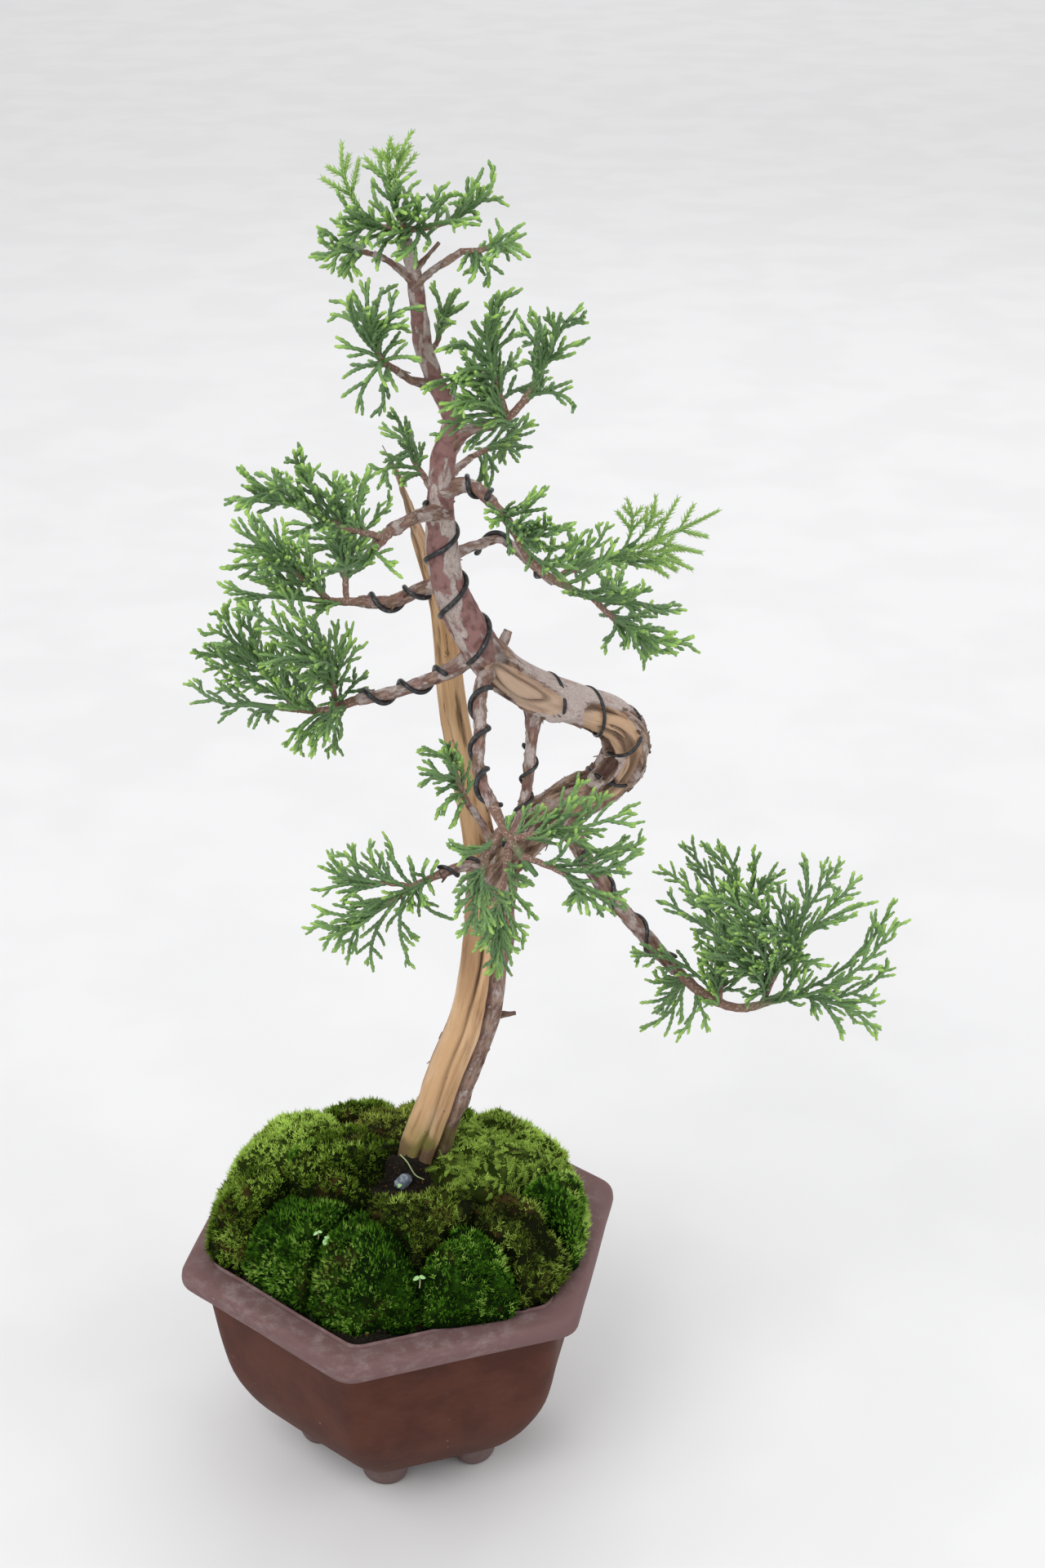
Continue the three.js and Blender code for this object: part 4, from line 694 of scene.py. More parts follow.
def make_pot(looks):
    """The pot with its lip, hollow, drain hole and six feet."""
    shape = Shape()
    rows = np.array(POT_PROFILE + POT_PROFILE[:1], float)
    skin = hex_rings(curve_rows(rows, np.linspace(0, 1, 4 * len(POT_PROFILE) + 1))[:-1])
    out = unit(skin * (1, 1, 0))
    wander = noise(skin, 24, 3)[..., None] * 0.35 + noise(skin, 7, 4)[..., None] * 0.08
    drain = rise(np.hypot(skin[..., 0], skin[..., 1]), 10, 30)[..., None]
    skin = skin + out * wander * drain
    faces = ring_quads(len(skin) + 1, skin.shape[1]) % (skin.shape[0] * skin.shape[1])
    z, reach = skin[..., 2], np.hypot(skin[..., 0], skin[..., 1])
    on_lip = rise(z, 70, 73.6)
    inner = on_lip * near(reach, 62 + 3 * noise(skin, 15, 9), 8)
    corner, left = (near(RING_ANGLES % (2 * math.pi), math.radians(at), half)
                    for at, half in ((258.9, 0.5), (205, 0.7)))
    bloom = np.clip(inner + on_lip * (0.75 * corner + 0.6 * left), 0, 1)
    shape.add(skin, [faces], lip=on_lip, foot=rise(z, 12.5, 8.5) * 0.6, bloom=bloom + 0.05)
    rows = curve_rows(np.array(FOOT_ROWS, float), np.linspace(0, 1, 25))
    turn = turns(40)
    for k in range(6):
        angle = POT_TURN + k * math.pi / 3
        outward = np.array([math.cos(angle), math.sin(angle), 0])
        along = np.array([-outward[1], outward[0], 0])
        wide = rows[:, 1, None, None] * np.cos(turn)[:, None] * along
        deep = rows[:, 2, None, None] * np.sin(turn)[:, None] * -outward
        skin = outward * FOOT_CIRCLE + wide + deep + rows[:, 0, None, None] * (0, 0, 1)
        foot = 1 - 0.4 * rise(skin[..., 2], 7, 11.5)
        shape.tube(skin, lip=0.0, foot=foot, bloom=0.35)
    shape.piece("clay_pot", pot_finish(looks), "clay", ["pot"])


def make_net(looks):
    """The plastic net over the drain hole, woven of flat bars."""
    shape = Shape()
    half, bar, thick = NET["half"], NET["bar"] / 2, NET["thick"] / 2
    middle = NET["low"] + thick
    turn = turns(16)
    edge, face = (np.sign(side) * np.abs(side) ** 0.4 for side in (np.cos(turn), np.sin(turn)))
    stations = np.linspace(-half, half, 41)
    for k in range(-2, 2):
        across = (k + 0.5) * NET["pitch"]
        for crosswise in (False, True):
            x = stations[:, None] + 0 * turn
            y = across + bar * 0.98 * edge[None, :] + 0 * x
            z = middle + thick * 0.96 * face[None, :] * (0.94 + 0.06 * np.cos(x * 2.3))
            shape.tube(np.stack((-y, x, z) if crosswise else (x, y, z), -1))
    f = Finish("net_plastic")
    scuff = f.noise(f.place(), 0.5)
    colour = f.mix(looks.net, (0.09, 0.09, 0.085), scuff.rise(0.55, 0.8))
    finish = f.done(scuff, depth=0.05, Base_Color=colour, Roughness=0.45 + scuff * 0.2)
    shape.piece("drain_hole_net", finish, "net_plastic", ["drain_net"])


# The ground: soil, grit, moss, stone chip and seedlings.


def share_out(x, y):
    """How far out a place is: 0 on the axis, 1 at the edge of the mouth."""
    sector = math.pi / 3
    bearing = np.arctan2(y, x) - POT_TURN
    off = np.abs(bearing - np.round(bearing / sector) * sector)
    return np.hypot(x, y) / hex_reach(off, MOUTH_REACH, MOUTH_ROUNDING)


def soil_top(x, y):
    return SOIL_EDGE_Z + SOIL_CROWN * (1 - np.minimum(share_out(x, y), 1) ** SOIL_FALL)


def heap(x, y):
    """How much higher the soil stands against the trunk's foot."""
    return 7 * (1 - rise(np.hypot(x - 2.5, y - 3.2), 8.2, 12.5)) * (1 - rise(y, -4, 2))


def in_clearing(x, y):
    """Below 1 on the patch of bare soil in front of the trunk."""
    across, back = x - CLEARING["x"], y - CLEARING["y"]
    return np.hypot(across / CLEARING["half_x"], back / CLEARING["half_y"])


def crumbs(shape, middles, sizes, rng, **values):
    """Angular grains: squashed twenty-faced balls, each turned its own way."""
    golden = (1 + 5**0.5) / 2
    corners = [(0, a, b * golden) for a in (-1, 1) for b in (-1, 1)]
    ball = unit(np.array([np.roll(c, k) for k in range(3) for c in corners], float))
    apart = np.linalg.norm(ball[:, None] - ball[None], axis=-1)
    close = (apart > 0.1) & (apart < 1.2)
    faces = []
    for i, j, k in itertools.combinations(range(12), 3):
        if close[i, j] and close[j, k] and close[i, k]:
            outside = np.dot(np.cross(ball[j] - ball[i], ball[k] - ball[i]), ball[i]) > 0
            faces.append((i, j, k) if outside else (i, k, j))
    faces = np.array(faces)
    count = len(middles)
    squash = rng.uniform(0.6, 1.1, (count, 1, 3))
    turn = unit(rng.normal(size=(count, 3)))
    other = unit(np.cross(turn, rng.normal(size=(count, 3))))
    axes = np.stack([turn, other, np.cross(turn, other)], 1)
    jag = rng.uniform(0.82, 1.12, (count, 12, 1))
    points = (ball * squash * jag) @ axes * np.reshape(sizes, (-1, 1, 1)) + middles[:, None]
    numbers = faces[None] + 12 * np.arange(count)[:, None, None]
    values = {key: np.repeat(value, 12) for key, value in values.items()}
    shape.add(points, [numbers.reshape(-1, 3)], **values)


def soil_finish(looks):
    f = Finish("damp_soil")
    place = f.place()
    fine = f.noise(place, 0.8, detail=6, roughness=0.7)
    colour = f.mix(looks.soil, looks.soil_light, fine.rise(0.5, 0.72))
    lava = f.mix(looks.lava, looks.lava_pale, fine.rise(0.4, 0.65))
    colour = f.mix(colour, lava, f.value("lava"))
    height = fine + f.cells(place, 1.3) * 0.6
    return f.done(height, depth=0.6, Base_Color=colour, Roughness=0.85 - fine * 0.25,
                  Specular_IOR_Level=0.15)


def make_soil(looks):
    """The heap of soil and the loose grit where no moss covers it."""
    rng = np.random.default_rng(SEEDS["soil"])
    shape = Shape()
    rows = [(z, reach, MOUTH_ROUNDING) for z, reach in SOIL_PROFILE]
    skin = hex_rings(rows + [(0, MOUTH_REACH * s, MOUTH_ROUNDING * s)
                             for s in (0.98, *np.linspace(0.95, 0.01, 60))])
    dome = skin[len(SOIL_PROFILE):]
    lumps = 0.5 * rough(dome, 3.5, 21)
    dome[..., 2] = soil_top(dome[..., 0], dome[..., 1]) + lumps + heap(dome[..., 0], dome[..., 1])
    shape.tube(skin, lava=0.0)
    x, y = rng.uniform(-60, 60, (GRAINS, 2)).T
    rim = (share_out(x, y) > 0.84) & (share_out(x, y) < 0.965)
    keep = rim & (rng.random(len(x)) < 0.5) | (in_clearing(x, y) < 1.05)
    x, y = x[keep], y[keep]
    sizes = rng.uniform(0.25, 0.75, len(x)) * np.where(in_clearing(x, y) < 1.1, 0.7, 1.0)
    middles = np.stack([x, y, soil_top(x, y) + heap(x, y) + 0.2 + sizes * 0.3], -1)
    crumbs(shape, middles, sizes, rng, lava=(rng.random(len(x)) < 0.12) * 1.0)
    x, y = rng.uniform(*STONE_PATCH, (400, 2)).T
    keep = (share_out(x, y) > 0.88) & (share_out(x, y) < 0.955)
    x, y = x[keep][:STONES], y[keep][:STONES]
    sizes = rng.uniform(0.8, 1.8, len(x))
    middles = np.stack([x, y, soil_top(x, y) + 0.4 + sizes * 0.3], -1)
    crumbs(shape, middles, sizes, rng, lava=(rng.random(len(x)) < 0.4) * 1.0)
    shape.piece("soil_and_grit", soil_finish(looks), "soil", ["soil"])


# How a kind of moss grows: shoots for each square millimetre, the length and thickness of their
# leaves, how far they spread, how unlike each other they are, and the depth of its lumps.
MOSS_KINDS = {
    "silky": (1.1, 2.1, 0.2, 0.35, 0.3, 0.5),
    "shaggy": (0.7, 2.1, 0.31, 0.8, 0.4, 0.9),
    "tufted": (0.72, 1.9, 0.3, 0.8, 0.4, 1.1),
    "mixed": (0.66, 2.0, 0.29, 0.9, 0.5, 1.1),
    "ferny": (0.4, 1.9, 0.28, 0.9, 0.35, 0.9),
}
MOSS_LEAVES = 4

# Where the moss ends, in shares of the way to the mouth's edge, at angles in degrees.
MOSS_END_ANGLES = [0, 12, 22, 34, 46, 62, 89, 110, 126, 140, 152, 166, 180, 194, 207, 220, 236,
                   250, 264, 277, 290, 306, 316, 326, 338, 350]
MOSS_ENDS = [1.1, 1.0, 0.96, 0.98, 0.99, 0.97, 0.92, 0.96, 1.0, 1.04, 1.09, 1.12, 1.12, 1.07, 0.99,
             1.01, 1.02, 0.975, 0.955, 1.0, 1.05, 1.08, 1.0, 1.05, 1.13, 1.13]

# Pits in the moss, where it grows thin and shade is painted: place, width and depth.
PITS = [
    (30, -22, 6, 5), (46, -33, 8, 7.5), (49, -22, 6, 5), (38, -27, 6, 4.5), (-11, -36, 5, 4),
    (-46, -10, 5, 3), (-30, -14, 5, 2.5), (-34, 8, 6, 3), (19, -29, 4, 2), (-27, -26, 4, 2),
    (35, 7, 4, 2),
]

# Where the moss is silky and emerald: place and width.
SILKY_PATCHES = [(-32, -29, 9), (-3, -43, 10), (17, -55, 6), (54, -17, 9), (-33, 0, 4)]


def clumps(points, size, seed):
    """How far each place is from the nearest of many scattered middles, in shares of size."""
    q = np.asarray(points, float) / size
    cell = np.floor(q).astype(np.int64)
    nearest = 9.0
    for step in np.ndindex(3, 3, 3):
        other = cell + step - 1
        middle = other + np.stack([lattice(other, seed + k) for k in range(3)], -1)
        nearest = np.minimum(nearest, np.linalg.norm(q - middle, axis=-1))
    return nearest


def moss_end(x, y):
    """Where the moss ends in the direction of a place, as share_out counts."""
    return np.interp(np.degrees(np.arctan2(y, x)), MOSS_END_ANGLES, MOSS_ENDS, period=360)


def mound(x, y):
    """The moss's general height."""
    out = share_out(x, y) / moss_end(x, y)
    high = MOSS_CROWN * (1 - np.minimum(out / 1.1, 0.999) ** MOSS_FALL) ** MOSS_SHOULDER
    return RIM_Z + high - 3.5 * rise(y, 6, 46) * rise(out, 0.1, 0.6)


def silky(points):
    """1 within the silky patches."""
    found = 0
    for x, y, wide in SILKY_PATCHES:
        apart = np.hypot(points[..., 0] - x, points[..., 1] - y)
        found = np.maximum(found, 1 - rise(apart + 2 * noise(points, 4, 47), 0.6 * wide, wide))
    return found


def wandering(x, y):
    """How far the moss has crept sideways at a place, alike for the cushions on either side."""
    spot = np.stack([x, y, 0 * x], -1)
    inland = 1 - rise(share_out(x, y) / moss_end(x, y), 0.8, 1.0)
    return [(3.4 * noise(spot, 13, seed) + 1.6 * noise(spot, 5, seed + 1)) * inland
            for seed in (31, 35)]


def cushion_reach(x, y, angles):
    """How far a cushion about (x, y) reaches at each angle, and 1 where it ends at the lip."""
    steps = np.linspace(0.5, 44, 260)
    px = x + steps * np.cos(angles)[:, None]
    py = y + steps * np.sin(angles)[:, None]
    crept_x, crept_y = wandering(px, py)
    to = [np.hypot(px + crept_x - middle[0], py + crept_y - middle[1]) for middle in CUSHIONS.values()]
    own = np.hypot(px + crept_x - x, py + crept_y - y)
    other = np.min([np.where(d == own, 99, d) for d in to], axis=0)
    out = share_out(px, py) / moss_end(px, py)
    inside = (other - own > MOSS_CREVICE) & (out < 1)
    first = inside.argmin(axis=1)
    reach = steps[first]
    outer = rise(out[np.arange(len(angles)), first], 0.9, 0.98)
    for _ in range(3):
        reach, outer = ((np.roll(v, 1) + 2 * v + np.roll(v, -1)) / 4 for v in (reach, outer))
    return reach, outer


def pillow(name):
    """Points (rings, sides, 3) of a cushion from its middle out and down to its seat, how bare it
    lies, which also sets how much shade is painted on it, and how much grows on it."""
    x, y, lift, _, kind = CUSHIONS[name]
    angles = turns(92)
    reach, outer = cushion_reach(x, y, angles)
    over = np.sin(np.linspace(0.02, 1, 32) * math.pi / 2)
    share = np.concatenate([over, np.linspace(0.998, 0.94, 5)])[:, None]
    wall = np.concatenate([0 * over, np.linspace(0.2, 1, 5)])[:, None]
    px = x + share * reach * np.cos(angles)
    py = y + share * reach * np.sin(angles)
    flat = np.stack([px, py, 0 * px], -1)
    out = share_out(px, py)
    low = np.where(out < 0.985, soil_top(px, py) - 0.4, RIM_Z + 0.4)
    high = mound(px, py) + (lift + 1.2) * (1 - np.minimum(share, 1) ** 2) + 0.4
    high = high + (2.4 * noise(flat, 11, 41) + 1.3 * noise(flat, 5.5, 42)) * rise(high - low, 1, 5)
    pit = sum(deep * np.exp(-((px - pit_x) ** 2 + (py - pit_y) ** 2) / (0.36 * wide**2))
              for pit_x, pit_y, wide, deep in PITS)
    high = high - pit
    sink = np.clip(0.62 + 0.4 * noise(flat, 10, 44), 0.2, 0.95)
    belt = outer * 0.3 + (1 - outer) * (1 - sink)
    dome = (1 - np.minimum(share, 0.9999) ** (4 - 0.6 * outer)) ** 0.6
    tall = np.maximum(high - low, 0.8) * (belt + (1 - belt) * dome * (wall == 0))
    slope = rise(in_clearing(px, py), 1.0, np.where(py < CLEARING["y"], 2.7, 1.8))
    near_soil = np.where(py < 4, slope, 1.0)
    pz = low + tall * (1 - wall) * near_soil - 1.2 * (near_soil < 0.02)
    skin = np.stack([px, py, pz], -1)
    along, around = np.gradient(skin, axis=0), np.roll(skin, -1, 1) - np.roll(skin, 1, 1)
    normal = unit(np.cross(along, around))
    soft = silky(skin)
    depth = MOSS_KINDS[kind][-1] * (1 - 0.65 * soft) * (1 - 0.7 * wall * (1 - outer))
    near_middle = clumps(skin, 4.4, 45)
    finer = clumps(skin, 2.1, 48)
    bump = depth * (1.0 * (0.55 - near_middle) + 0.45 * (0.5 - finer)) * rise(pz - low, 0.3, 2.5)
    skin = skin + normal * bump[..., None]
    # Crevices between the cushions and the pits count as bare: fewer and shorter shoots grow there,
    # and shade is painted on them.
    crevice = (1 - outer) * rise(share, 0.8, 1.0) + 0.9 * rise(pit, 1.4, 5)
    bare = np.clip(0.7 * rise(near_middle, 0.55, 0.95) + crevice + wall + (1 - near_soil), 0, 1)
    return skin, bare, np.maximum(1 - wall, outer) * (near_soil > 0.06)


def pick_faces(skin, weight, density, rng):
    """Faces of a skin of rings picked evenly by area: their corners, their directions and the
    numbers of their first corners."""
    faces = ring_quads(*skin.shape[:2])
    corners = skin.reshape(-1, 3)[faces]
    cross = np.cross(corners[:, 2] - corners[:, 0], corners[:, 3] - corners[:, 1])
    area = np.linalg.norm(cross, axis=1) / 2 * weight.reshape(-1)[faces[:, 0]]
    count = int(area.sum() * density)
    pick = rng.choice(len(faces), count, p=area / area.sum()) if count else np.zeros(0, int)
    return corners[pick], unit(cross[pick]), faces[pick, 0]


def scatter(skin, values, weight, density, rng):
    """Evenly strewn places on a skin of rings, directions out of it there, and other values."""
    c, inward, first = pick_faces(skin, weight, density, rng)
    u, v = rng.random((2, len(c), 1))
    places = (c[:, 0] * (1 - u) + c[:, 1] * u) * (1 - v) + (c[:, 3] * (1 - u) + c[:, 2] * u) * v
    return places, -inward, values.reshape(-1)[first]


def spikes(shape, base, direction, length, radius, **values):
    """Three-sided spikes, all at once, with the value height 0 at the base and 1 at the tip."""
    side = unit(np.cross(direction, (0.31, 0.9, 0.29)))
    other = np.cross(direction, side)
    turn = turns(3)
    spokes = np.cos(turn)[:, None] * side[:, None] + np.sin(turn)[:, None] * other[:, None]
    radius = np.reshape(radius, (-1, 1, 1))
    foot = base[:, None] + spokes * radius
    tip = base + direction * np.reshape(length, (-1, 1))
    points = np.concatenate([foot, tip[:, None]], 1)
    start = 4 * np.arange(len(base))[:, None, None]
    faces = start + np.array([(0, 1, 3), (1, 2, 3), (2, 0, 3)])
    values = {k: np.repeat(np.broadcast_to(v, len(base)), 4) for k, v in values.items()}
    height = np.tile([0.0, 0, 0, 1], len(base))
    shape.add(points, [faces.reshape(-1, 3)], height=height, **values)


def off_trunk(places):
    """True for places outside the trunk."""
    rows = np.array(TRUNK_ROUTE[:6])
    x, y, r = (np.interp(places[:, 2], rows[:, 2], rows[:, k]) for k in (0, 1, 3))
    return np.hypot(places[:, 0] - x, places[:, 1] - y) > r - 0.6


def grow_moss(shape, skin, bare, weight, kind, rng, thickness):
    """Covers a cushion's skin with leafy moss shoots."""
    density, length, radius, splay, ragged, _ = MOSS_KINDS[kind]
    places, out, bare = scatter(skin, bare, weight, density * thickness, rng)
    keep = off_trunk(places) & (rng.random(len(places)) > 0.55 * bare)
    places, out, bare = places[keep], out[keep], bare[keep]
    count = len(places)
    soft = silky(places)
    upright = np.clip(0.4 + 0.3 * soft, 0, 1)[:, None]
    lean = unit(out * (1 - upright) + np.array([0, 0, 1]) * upright + rng.normal(0, 0.2, (count, 3)))
    tall = length * (1 + ragged * rng.uniform(-1, 1, count)) * (1 - 0.45 * bare)
    # Shoots where the moss lies bare or in a crevice get a low hue, which paints shade on them.
    hue = np.clip(0.5 + 0.45 * rough(places, 7, 52) + rng.normal(0, 0.22, count) - 0.8 * bare, 0, 1)
    hue = hue + 0.4 * rise(places[:, 0], 44, 58) * (1 - bare)
    brown = rise(rough(places, 8, 53) + 0.35 * bare, 0.3, 0.8)
    for leaf in range(MOSS_LEAVES):
        away = splay * (1 - 0.6 * soft[:, None]) * rng.uniform(0.6, 1.2, (count, 1)) * (leaf > 0)
        way = unit(lean + unit(np.cross(lean, rng.normal(size=(count, 3)))) * away)
        size = tall * (1 if leaf == 0 else rng.uniform(0.55, 0.85, count))
        thick = radius * rng.uniform(0.8, 1.2, count) * (1 - 0.3 * soft)
        spikes(shape, places - lean * 0.4, way, size + 0.4, thick, hue=hue, brown=brown, silk=soft)
    if kind == "ferny":
        grow_fronds(shape, places, out, rng)


def grow_fronds(shape, places, out, rng):
    """Small feathery fronds that lie over the moss."""
    pick = rng.random(len(places)) < 0.42
    base, out = places[pick], out[pick]
    count = len(base)
    along = unit(np.cross(out, rng.normal(size=(count, 3))))
    way = unit(along + out * rng.uniform(0.25, 0.6, (count, 1)))
    side = unit(np.cross(way, out))
    length = rng.uniform(3.4, 5.8, count)
    values = {"hue": rng.uniform(0.55, 1, count), "brown": 0.0, "silk": 0.0}
    base = base + out * 0.6
    spikes(shape, base, way, length, 0.2, **values)
    for k in range(1, 7):
        for hand in (-1, 1):
            root = base + way * (length * k / 7.5)[:, None]
            aim = unit(way * 0.75 + side * hand + out * 0.1)
            spikes(shape, root, aim, (1.9 - 0.2 * k) * length / 4.6, 0.2, **values)


def moss_finish(name, looks):
    f = Finish(name)
    # dark is the near-black green of the shade painted between the shoots; bright is the green on
    # them.
    dark, bright, tip = getattr(looks, name + "_dark"), getattr(looks, name), looks.moss_tip
    height, hue, brown, silk = (f.value(key) for key in ("height", "hue", "brown", "silk"))
    patch = f.noise(f.place(), 4.5, detail=3)
    dark = f.mix(dark, looks.moss_emerald_dark, silk)
    bright = f.mix(bright, looks.moss_emerald, silk)
    # Painted shade: the deep colour covers the foot of each shoot and the pillow's skin where its
    # shade value is low, and gives way to the green towards the tips.
    colour = f.mix(dark, bright, (height * 0.75 + hue * 0.6).rise(0.2, 1.1))
    colour = f.mix(colour, tip, (height + hue).rise(1.15, 1.95) * (1 - silk * 0.8) * 0.8)
    dry = brown * patch.rise(0.4, 0.62) * (1 - silk) * getattr(looks, name + "_brown")
    colour = f.mix(colour, looks.moss_dry, dry)
    return f.done(Base_Color=colour, Roughness=0.7, Specular_IOR_Level=0.03)


def make_moss(looks):
    """Every moss cushion, as a pillow grown over with leafy shoots."""
    finishes = {}
    for k, (name, (_, _, _, slot, kind)) in enumerate(CUSHIONS.items()):
        rng = np.random.default_rng(SEEDS["moss"] + k)
        shape = Shape()
        skin, bare, weight = pillow(name)
        # Shade painted on the pillow's own skin, deeper where it lies bare or in a crevice; the finish
        # reads it as the value height. hue is lowered there too.
        shade = np.clip(0.26 + 0.2 * rough(skin, 2, 61) - 0.5 * bare, 0, 1)
        brown = np.clip(rise(rough(skin, 8, 53), 0.1, 0.6) * (1 - 0.5 * bare), 0, 1)
        hue, silk = 0.25 * (1 - bare), silky(skin) * (1 - bare)
        values = {"height": shade, "hue": hue, "brown": brown, "silk": silk}
        shape.tube(skin[::-1], **{key: value[::-1] for key, value in values.items()})
        grow_moss(shape, skin, bare, weight, kind, rng, looks.moss_thickness)
        if slot not in finishes:
            finishes[slot] = moss_finish(slot, looks)
        shape.piece("cushion_" + name, finishes[slot], slot, ["moss_" + name])


def make_chip(looks):
    """The blue-grey stone chip, split along flat faces."""
    rng = np.random.default_rng(SEEDS["chip"])
    turn, tip = CHIP["turn"], CHIP["tip"]
    up = np.linspace(0.03, math.pi - 0.03, 40)[:, None]
    around = turns(64)
    level = -np.cos(up) + 0 * around
    ball = np.stack([np.sin(up) * np.cos(around), np.sin(up) * np.sin(around), level], -1)
    planes = unit(rng.normal(size=(18, 3)))
    reach = rng.uniform(0.74, 0.95, 18)
    facing = np.maximum(ball @ planes.T, 1e-3)
    rock = ball * np.min(np.minimum(reach / facing, 1.0), axis=-1)[..., None]
    rock = rock + ball * 0.02 * rough(ball, 0.25, 71)[..., None]
    rock = rock * CHIP["half"]
    c, s = math.cos(turn), math.sin(turn)
    flat = np.array([[c, s, 0], [-s, c, 0], [0, 0, 1]])
    c, s = math.cos(tip), math.sin(tip)
    tilt = np.array([[1, 0, 0], [0, c, s], [0, -s, c]])
    seat = soil_top(CHIP["x"], CHIP["y"]) + CHIP["half"][2] * CHIP["shows"]
    shape = Shape()
    shape.tube(rock @ flat @ tilt + (CHIP["x"], CHIP["y"], seat))
    f = Finish("blue_grey_stone")
    place = f.place()
    grit = f.noise(place, 0.35, detail=5)
    colour = f.mix(looks.stone, looks.stone_pale, f.noise(place, 1.6).rise(0.42, 0.66))
    colour = f.mix(colour, looks.stone_dark, grit.rise(0.6, 0.72))
    finish = f.done(grit, depth=0.2, Base_Color=colour, Roughness=0.42 + grit * 0.3)
    shape.piece("chip_of_stone", finish, "stone", ["stone_chip"])


# Seedlings in the moss: place, height of the stem, length of a leaf and turn of the pair.
SEEDLINGS = [
    (-24.6, -38.6, 1.8, 1.5, 0.4),
    (-21.8, -41.3, 1.6, 1.7, 1.3),
    (8, -54, 3.2, 2.0, 0.2),
    (0.6, -12.4, 2.4, 1.5, 0.9),
]
# A route row of the rootlet is x, y, z and the radius there.
ROOTLET = [
    (0, -4.5, 105.4, 0.2), (2.4, -6.6, 105.9, 0.24), (5, -7.9, 105, 0.24), (8, -8.6, 104.6, 0.18),
]


def ground_top(x, y):
    """Height of moss, or of bare soil, at a place."""
    if in_clearing(x, y) < 1:
        return float(soil_top(x, y))
    return float(mound(x, y)) + 0.6


def make_seedlings(looks):
    """Two-leaved seedlings and a pale rootlet."""
    shape = Shape()
    turn = turns(18)
    for x, y, tall, size, aim in SEEDLINGS:
        low = ground_top(x, y)
        middle = (x + 0.2, y - 0.1, low + tall * 0.5, 0.2)
        stem = Route([(x, y, low - 1, 0.22), middle, (x, y, low + tall, 0.17)], 0.4)
        shape.tube(stem.skin(stem.radius[:, None], EIGHTHS), leaf=0.0)
        for way in (aim, aim + math.pi):
            along = np.array([math.cos(way), math.sin(way) - 0.25, 0.1 + 0.35 * math.sin(way)])
            across = np.array([-math.sin(way), math.cos(way), 0])
            s = np.linspace(0, 1, 12)
            wide = 0.52 * size * np.sin(math.pi * s**0.8) ** 0.6 + 0.03
            middle = np.array([x, y, low + tall]) + size * s[:, None] * along
            middle[:, 2] -= 0.3 * size * s**2
            skin = middle[:, None] + wide[:, None, None] * np.cos(turn)[:, None] * across
            skin = skin + np.sin(turn)[None, :, None] * (0, 0, 0.14)
            shape.tube(skin, leaf=1.0)
    root = Route([(x, y, z + 0.9 * heap(x, y), r) for x, y, z, r in ROOTLET], 0.4)
    shape.tube(root.skin(root.radius[:, None], EIGHTHS), leaf=0.4)
    f = Finish("seed_leaves")
    mottle = f.noise(f.place(), 0.8)
    colour = f.mix(looks.rootlet, looks.seed_leaf, f.value("leaf"))
    colour = f.mix(colour, looks.seed_leaf_dark, mottle.rise(0.5, 0.75) * 0.5)
    finish = f.done(mottle, depth=0.05, Base_Color=colour, Roughness=0.45 + mottle * 0.1)
    shape.piece("seedlings_and_rootlet", finish, "moss_green")


# The wood: trunk, jin, branches and stubs.

TRUNK_SIDES = 92
JIN_SIDES = 44
BRANCH_SIDES = 20
WOOD_STEP = 0.9
PLATE_DENSITY = 0.075

# Where along the trunk its lower part gives way to the bend, and the bend to its upper part.
LOW_ENDS = (118, 146)
HIGH_STARTS = (256, 270)
ACROSS_VIEW = np.array([0.0, 0.42, 0.91])

# How thick the wood is seen to be, in shares of what the part's source draws.
SLIM = {
    "trunk": 1.0, "jin": 1.0, "low_right": 0.85, "front_hang": 0.66, "right_b": 0.66, "mid_left": 0.76,
    "mid_hang": 0.76,
}
STEM_SLIM = 0.72


def slim(name, radius):
    """A branch's radius as it is seen."""
    return radius * SLIM.get(name, STEM_SLIM)


def swell(angles, share):
    """The trunk's reach in shares of its radius, at a share of its length."""
    return 1 + 0.07 * np.cos(2 * angles - 7 * share) + 0.05 * np.cos(3 * angles + 5 * share)


def grain_of(route, angles):
    """Places in a straightened piece of wood: across, across and along it."""
    r = route.radius[:, None]
    along = route.along[:, None] + 0 * angles
    return np.stack([r * np.cos(angles), r * np.sin(angles), along], -1)


def away_from(route, out, facing):
    """Millimetres round the trunk from the line that faces a way, or a way for each ring."""
    facing = np.broadcast_to(facing, route.direction.shape)
    along = np.sum(facing * route.direction, axis=-1, keepdims=True)
    facing = unit(facing - along * route.direction)
    cosine = np.clip(np.sum(out * facing[:, None], axis=-1), -1, 1)
    return np.arccos(cosine) * route.radius[:, None]


def oval(route, out, s, middle, facing, long, wide):
    """Distance from an oval's middle in shares of its size, 1 at its edge."""
    return np.hypot((s - middle) / long, away_from(route, out, facing) / wide)


# The bend's bare wood: place along the trunk, the way it faces there, and half its width.
BARE_STRIP = np.array([
    (158, 0.25, -0.96, -0.10, 0.0),
    (176, 0.29, -0.95, -0.06, 1.7),
    (188, 0.44, -0.88, -0.07, 2.1),
    (199, 0.14, -0.93, 0.25, 3.0),
    (205, -0.02, -0.95, 0.25, 4.9),
    (214, -0.03, -0.97, 0.22, 6.4),
    (223, 0.00, -0.97, 0.20, 5.8),
    (228, 0.00, -0.97, 0.20, 0.0),
])

# Where old growth has rolled over a wound: place along the trunk, the way it faces, half length
# and half width of the bare wood, and of the ridge within it.
WOUND = (248, (0.02, -1.0, 0.12), 16, 5.8)
WOUND_RIDGE = (250, (0.02, -1.0, 0.24), 9.5, 2.5)
POCKET = (193, (-0.28, -0.78, 0.56), 7.5, 2.8)


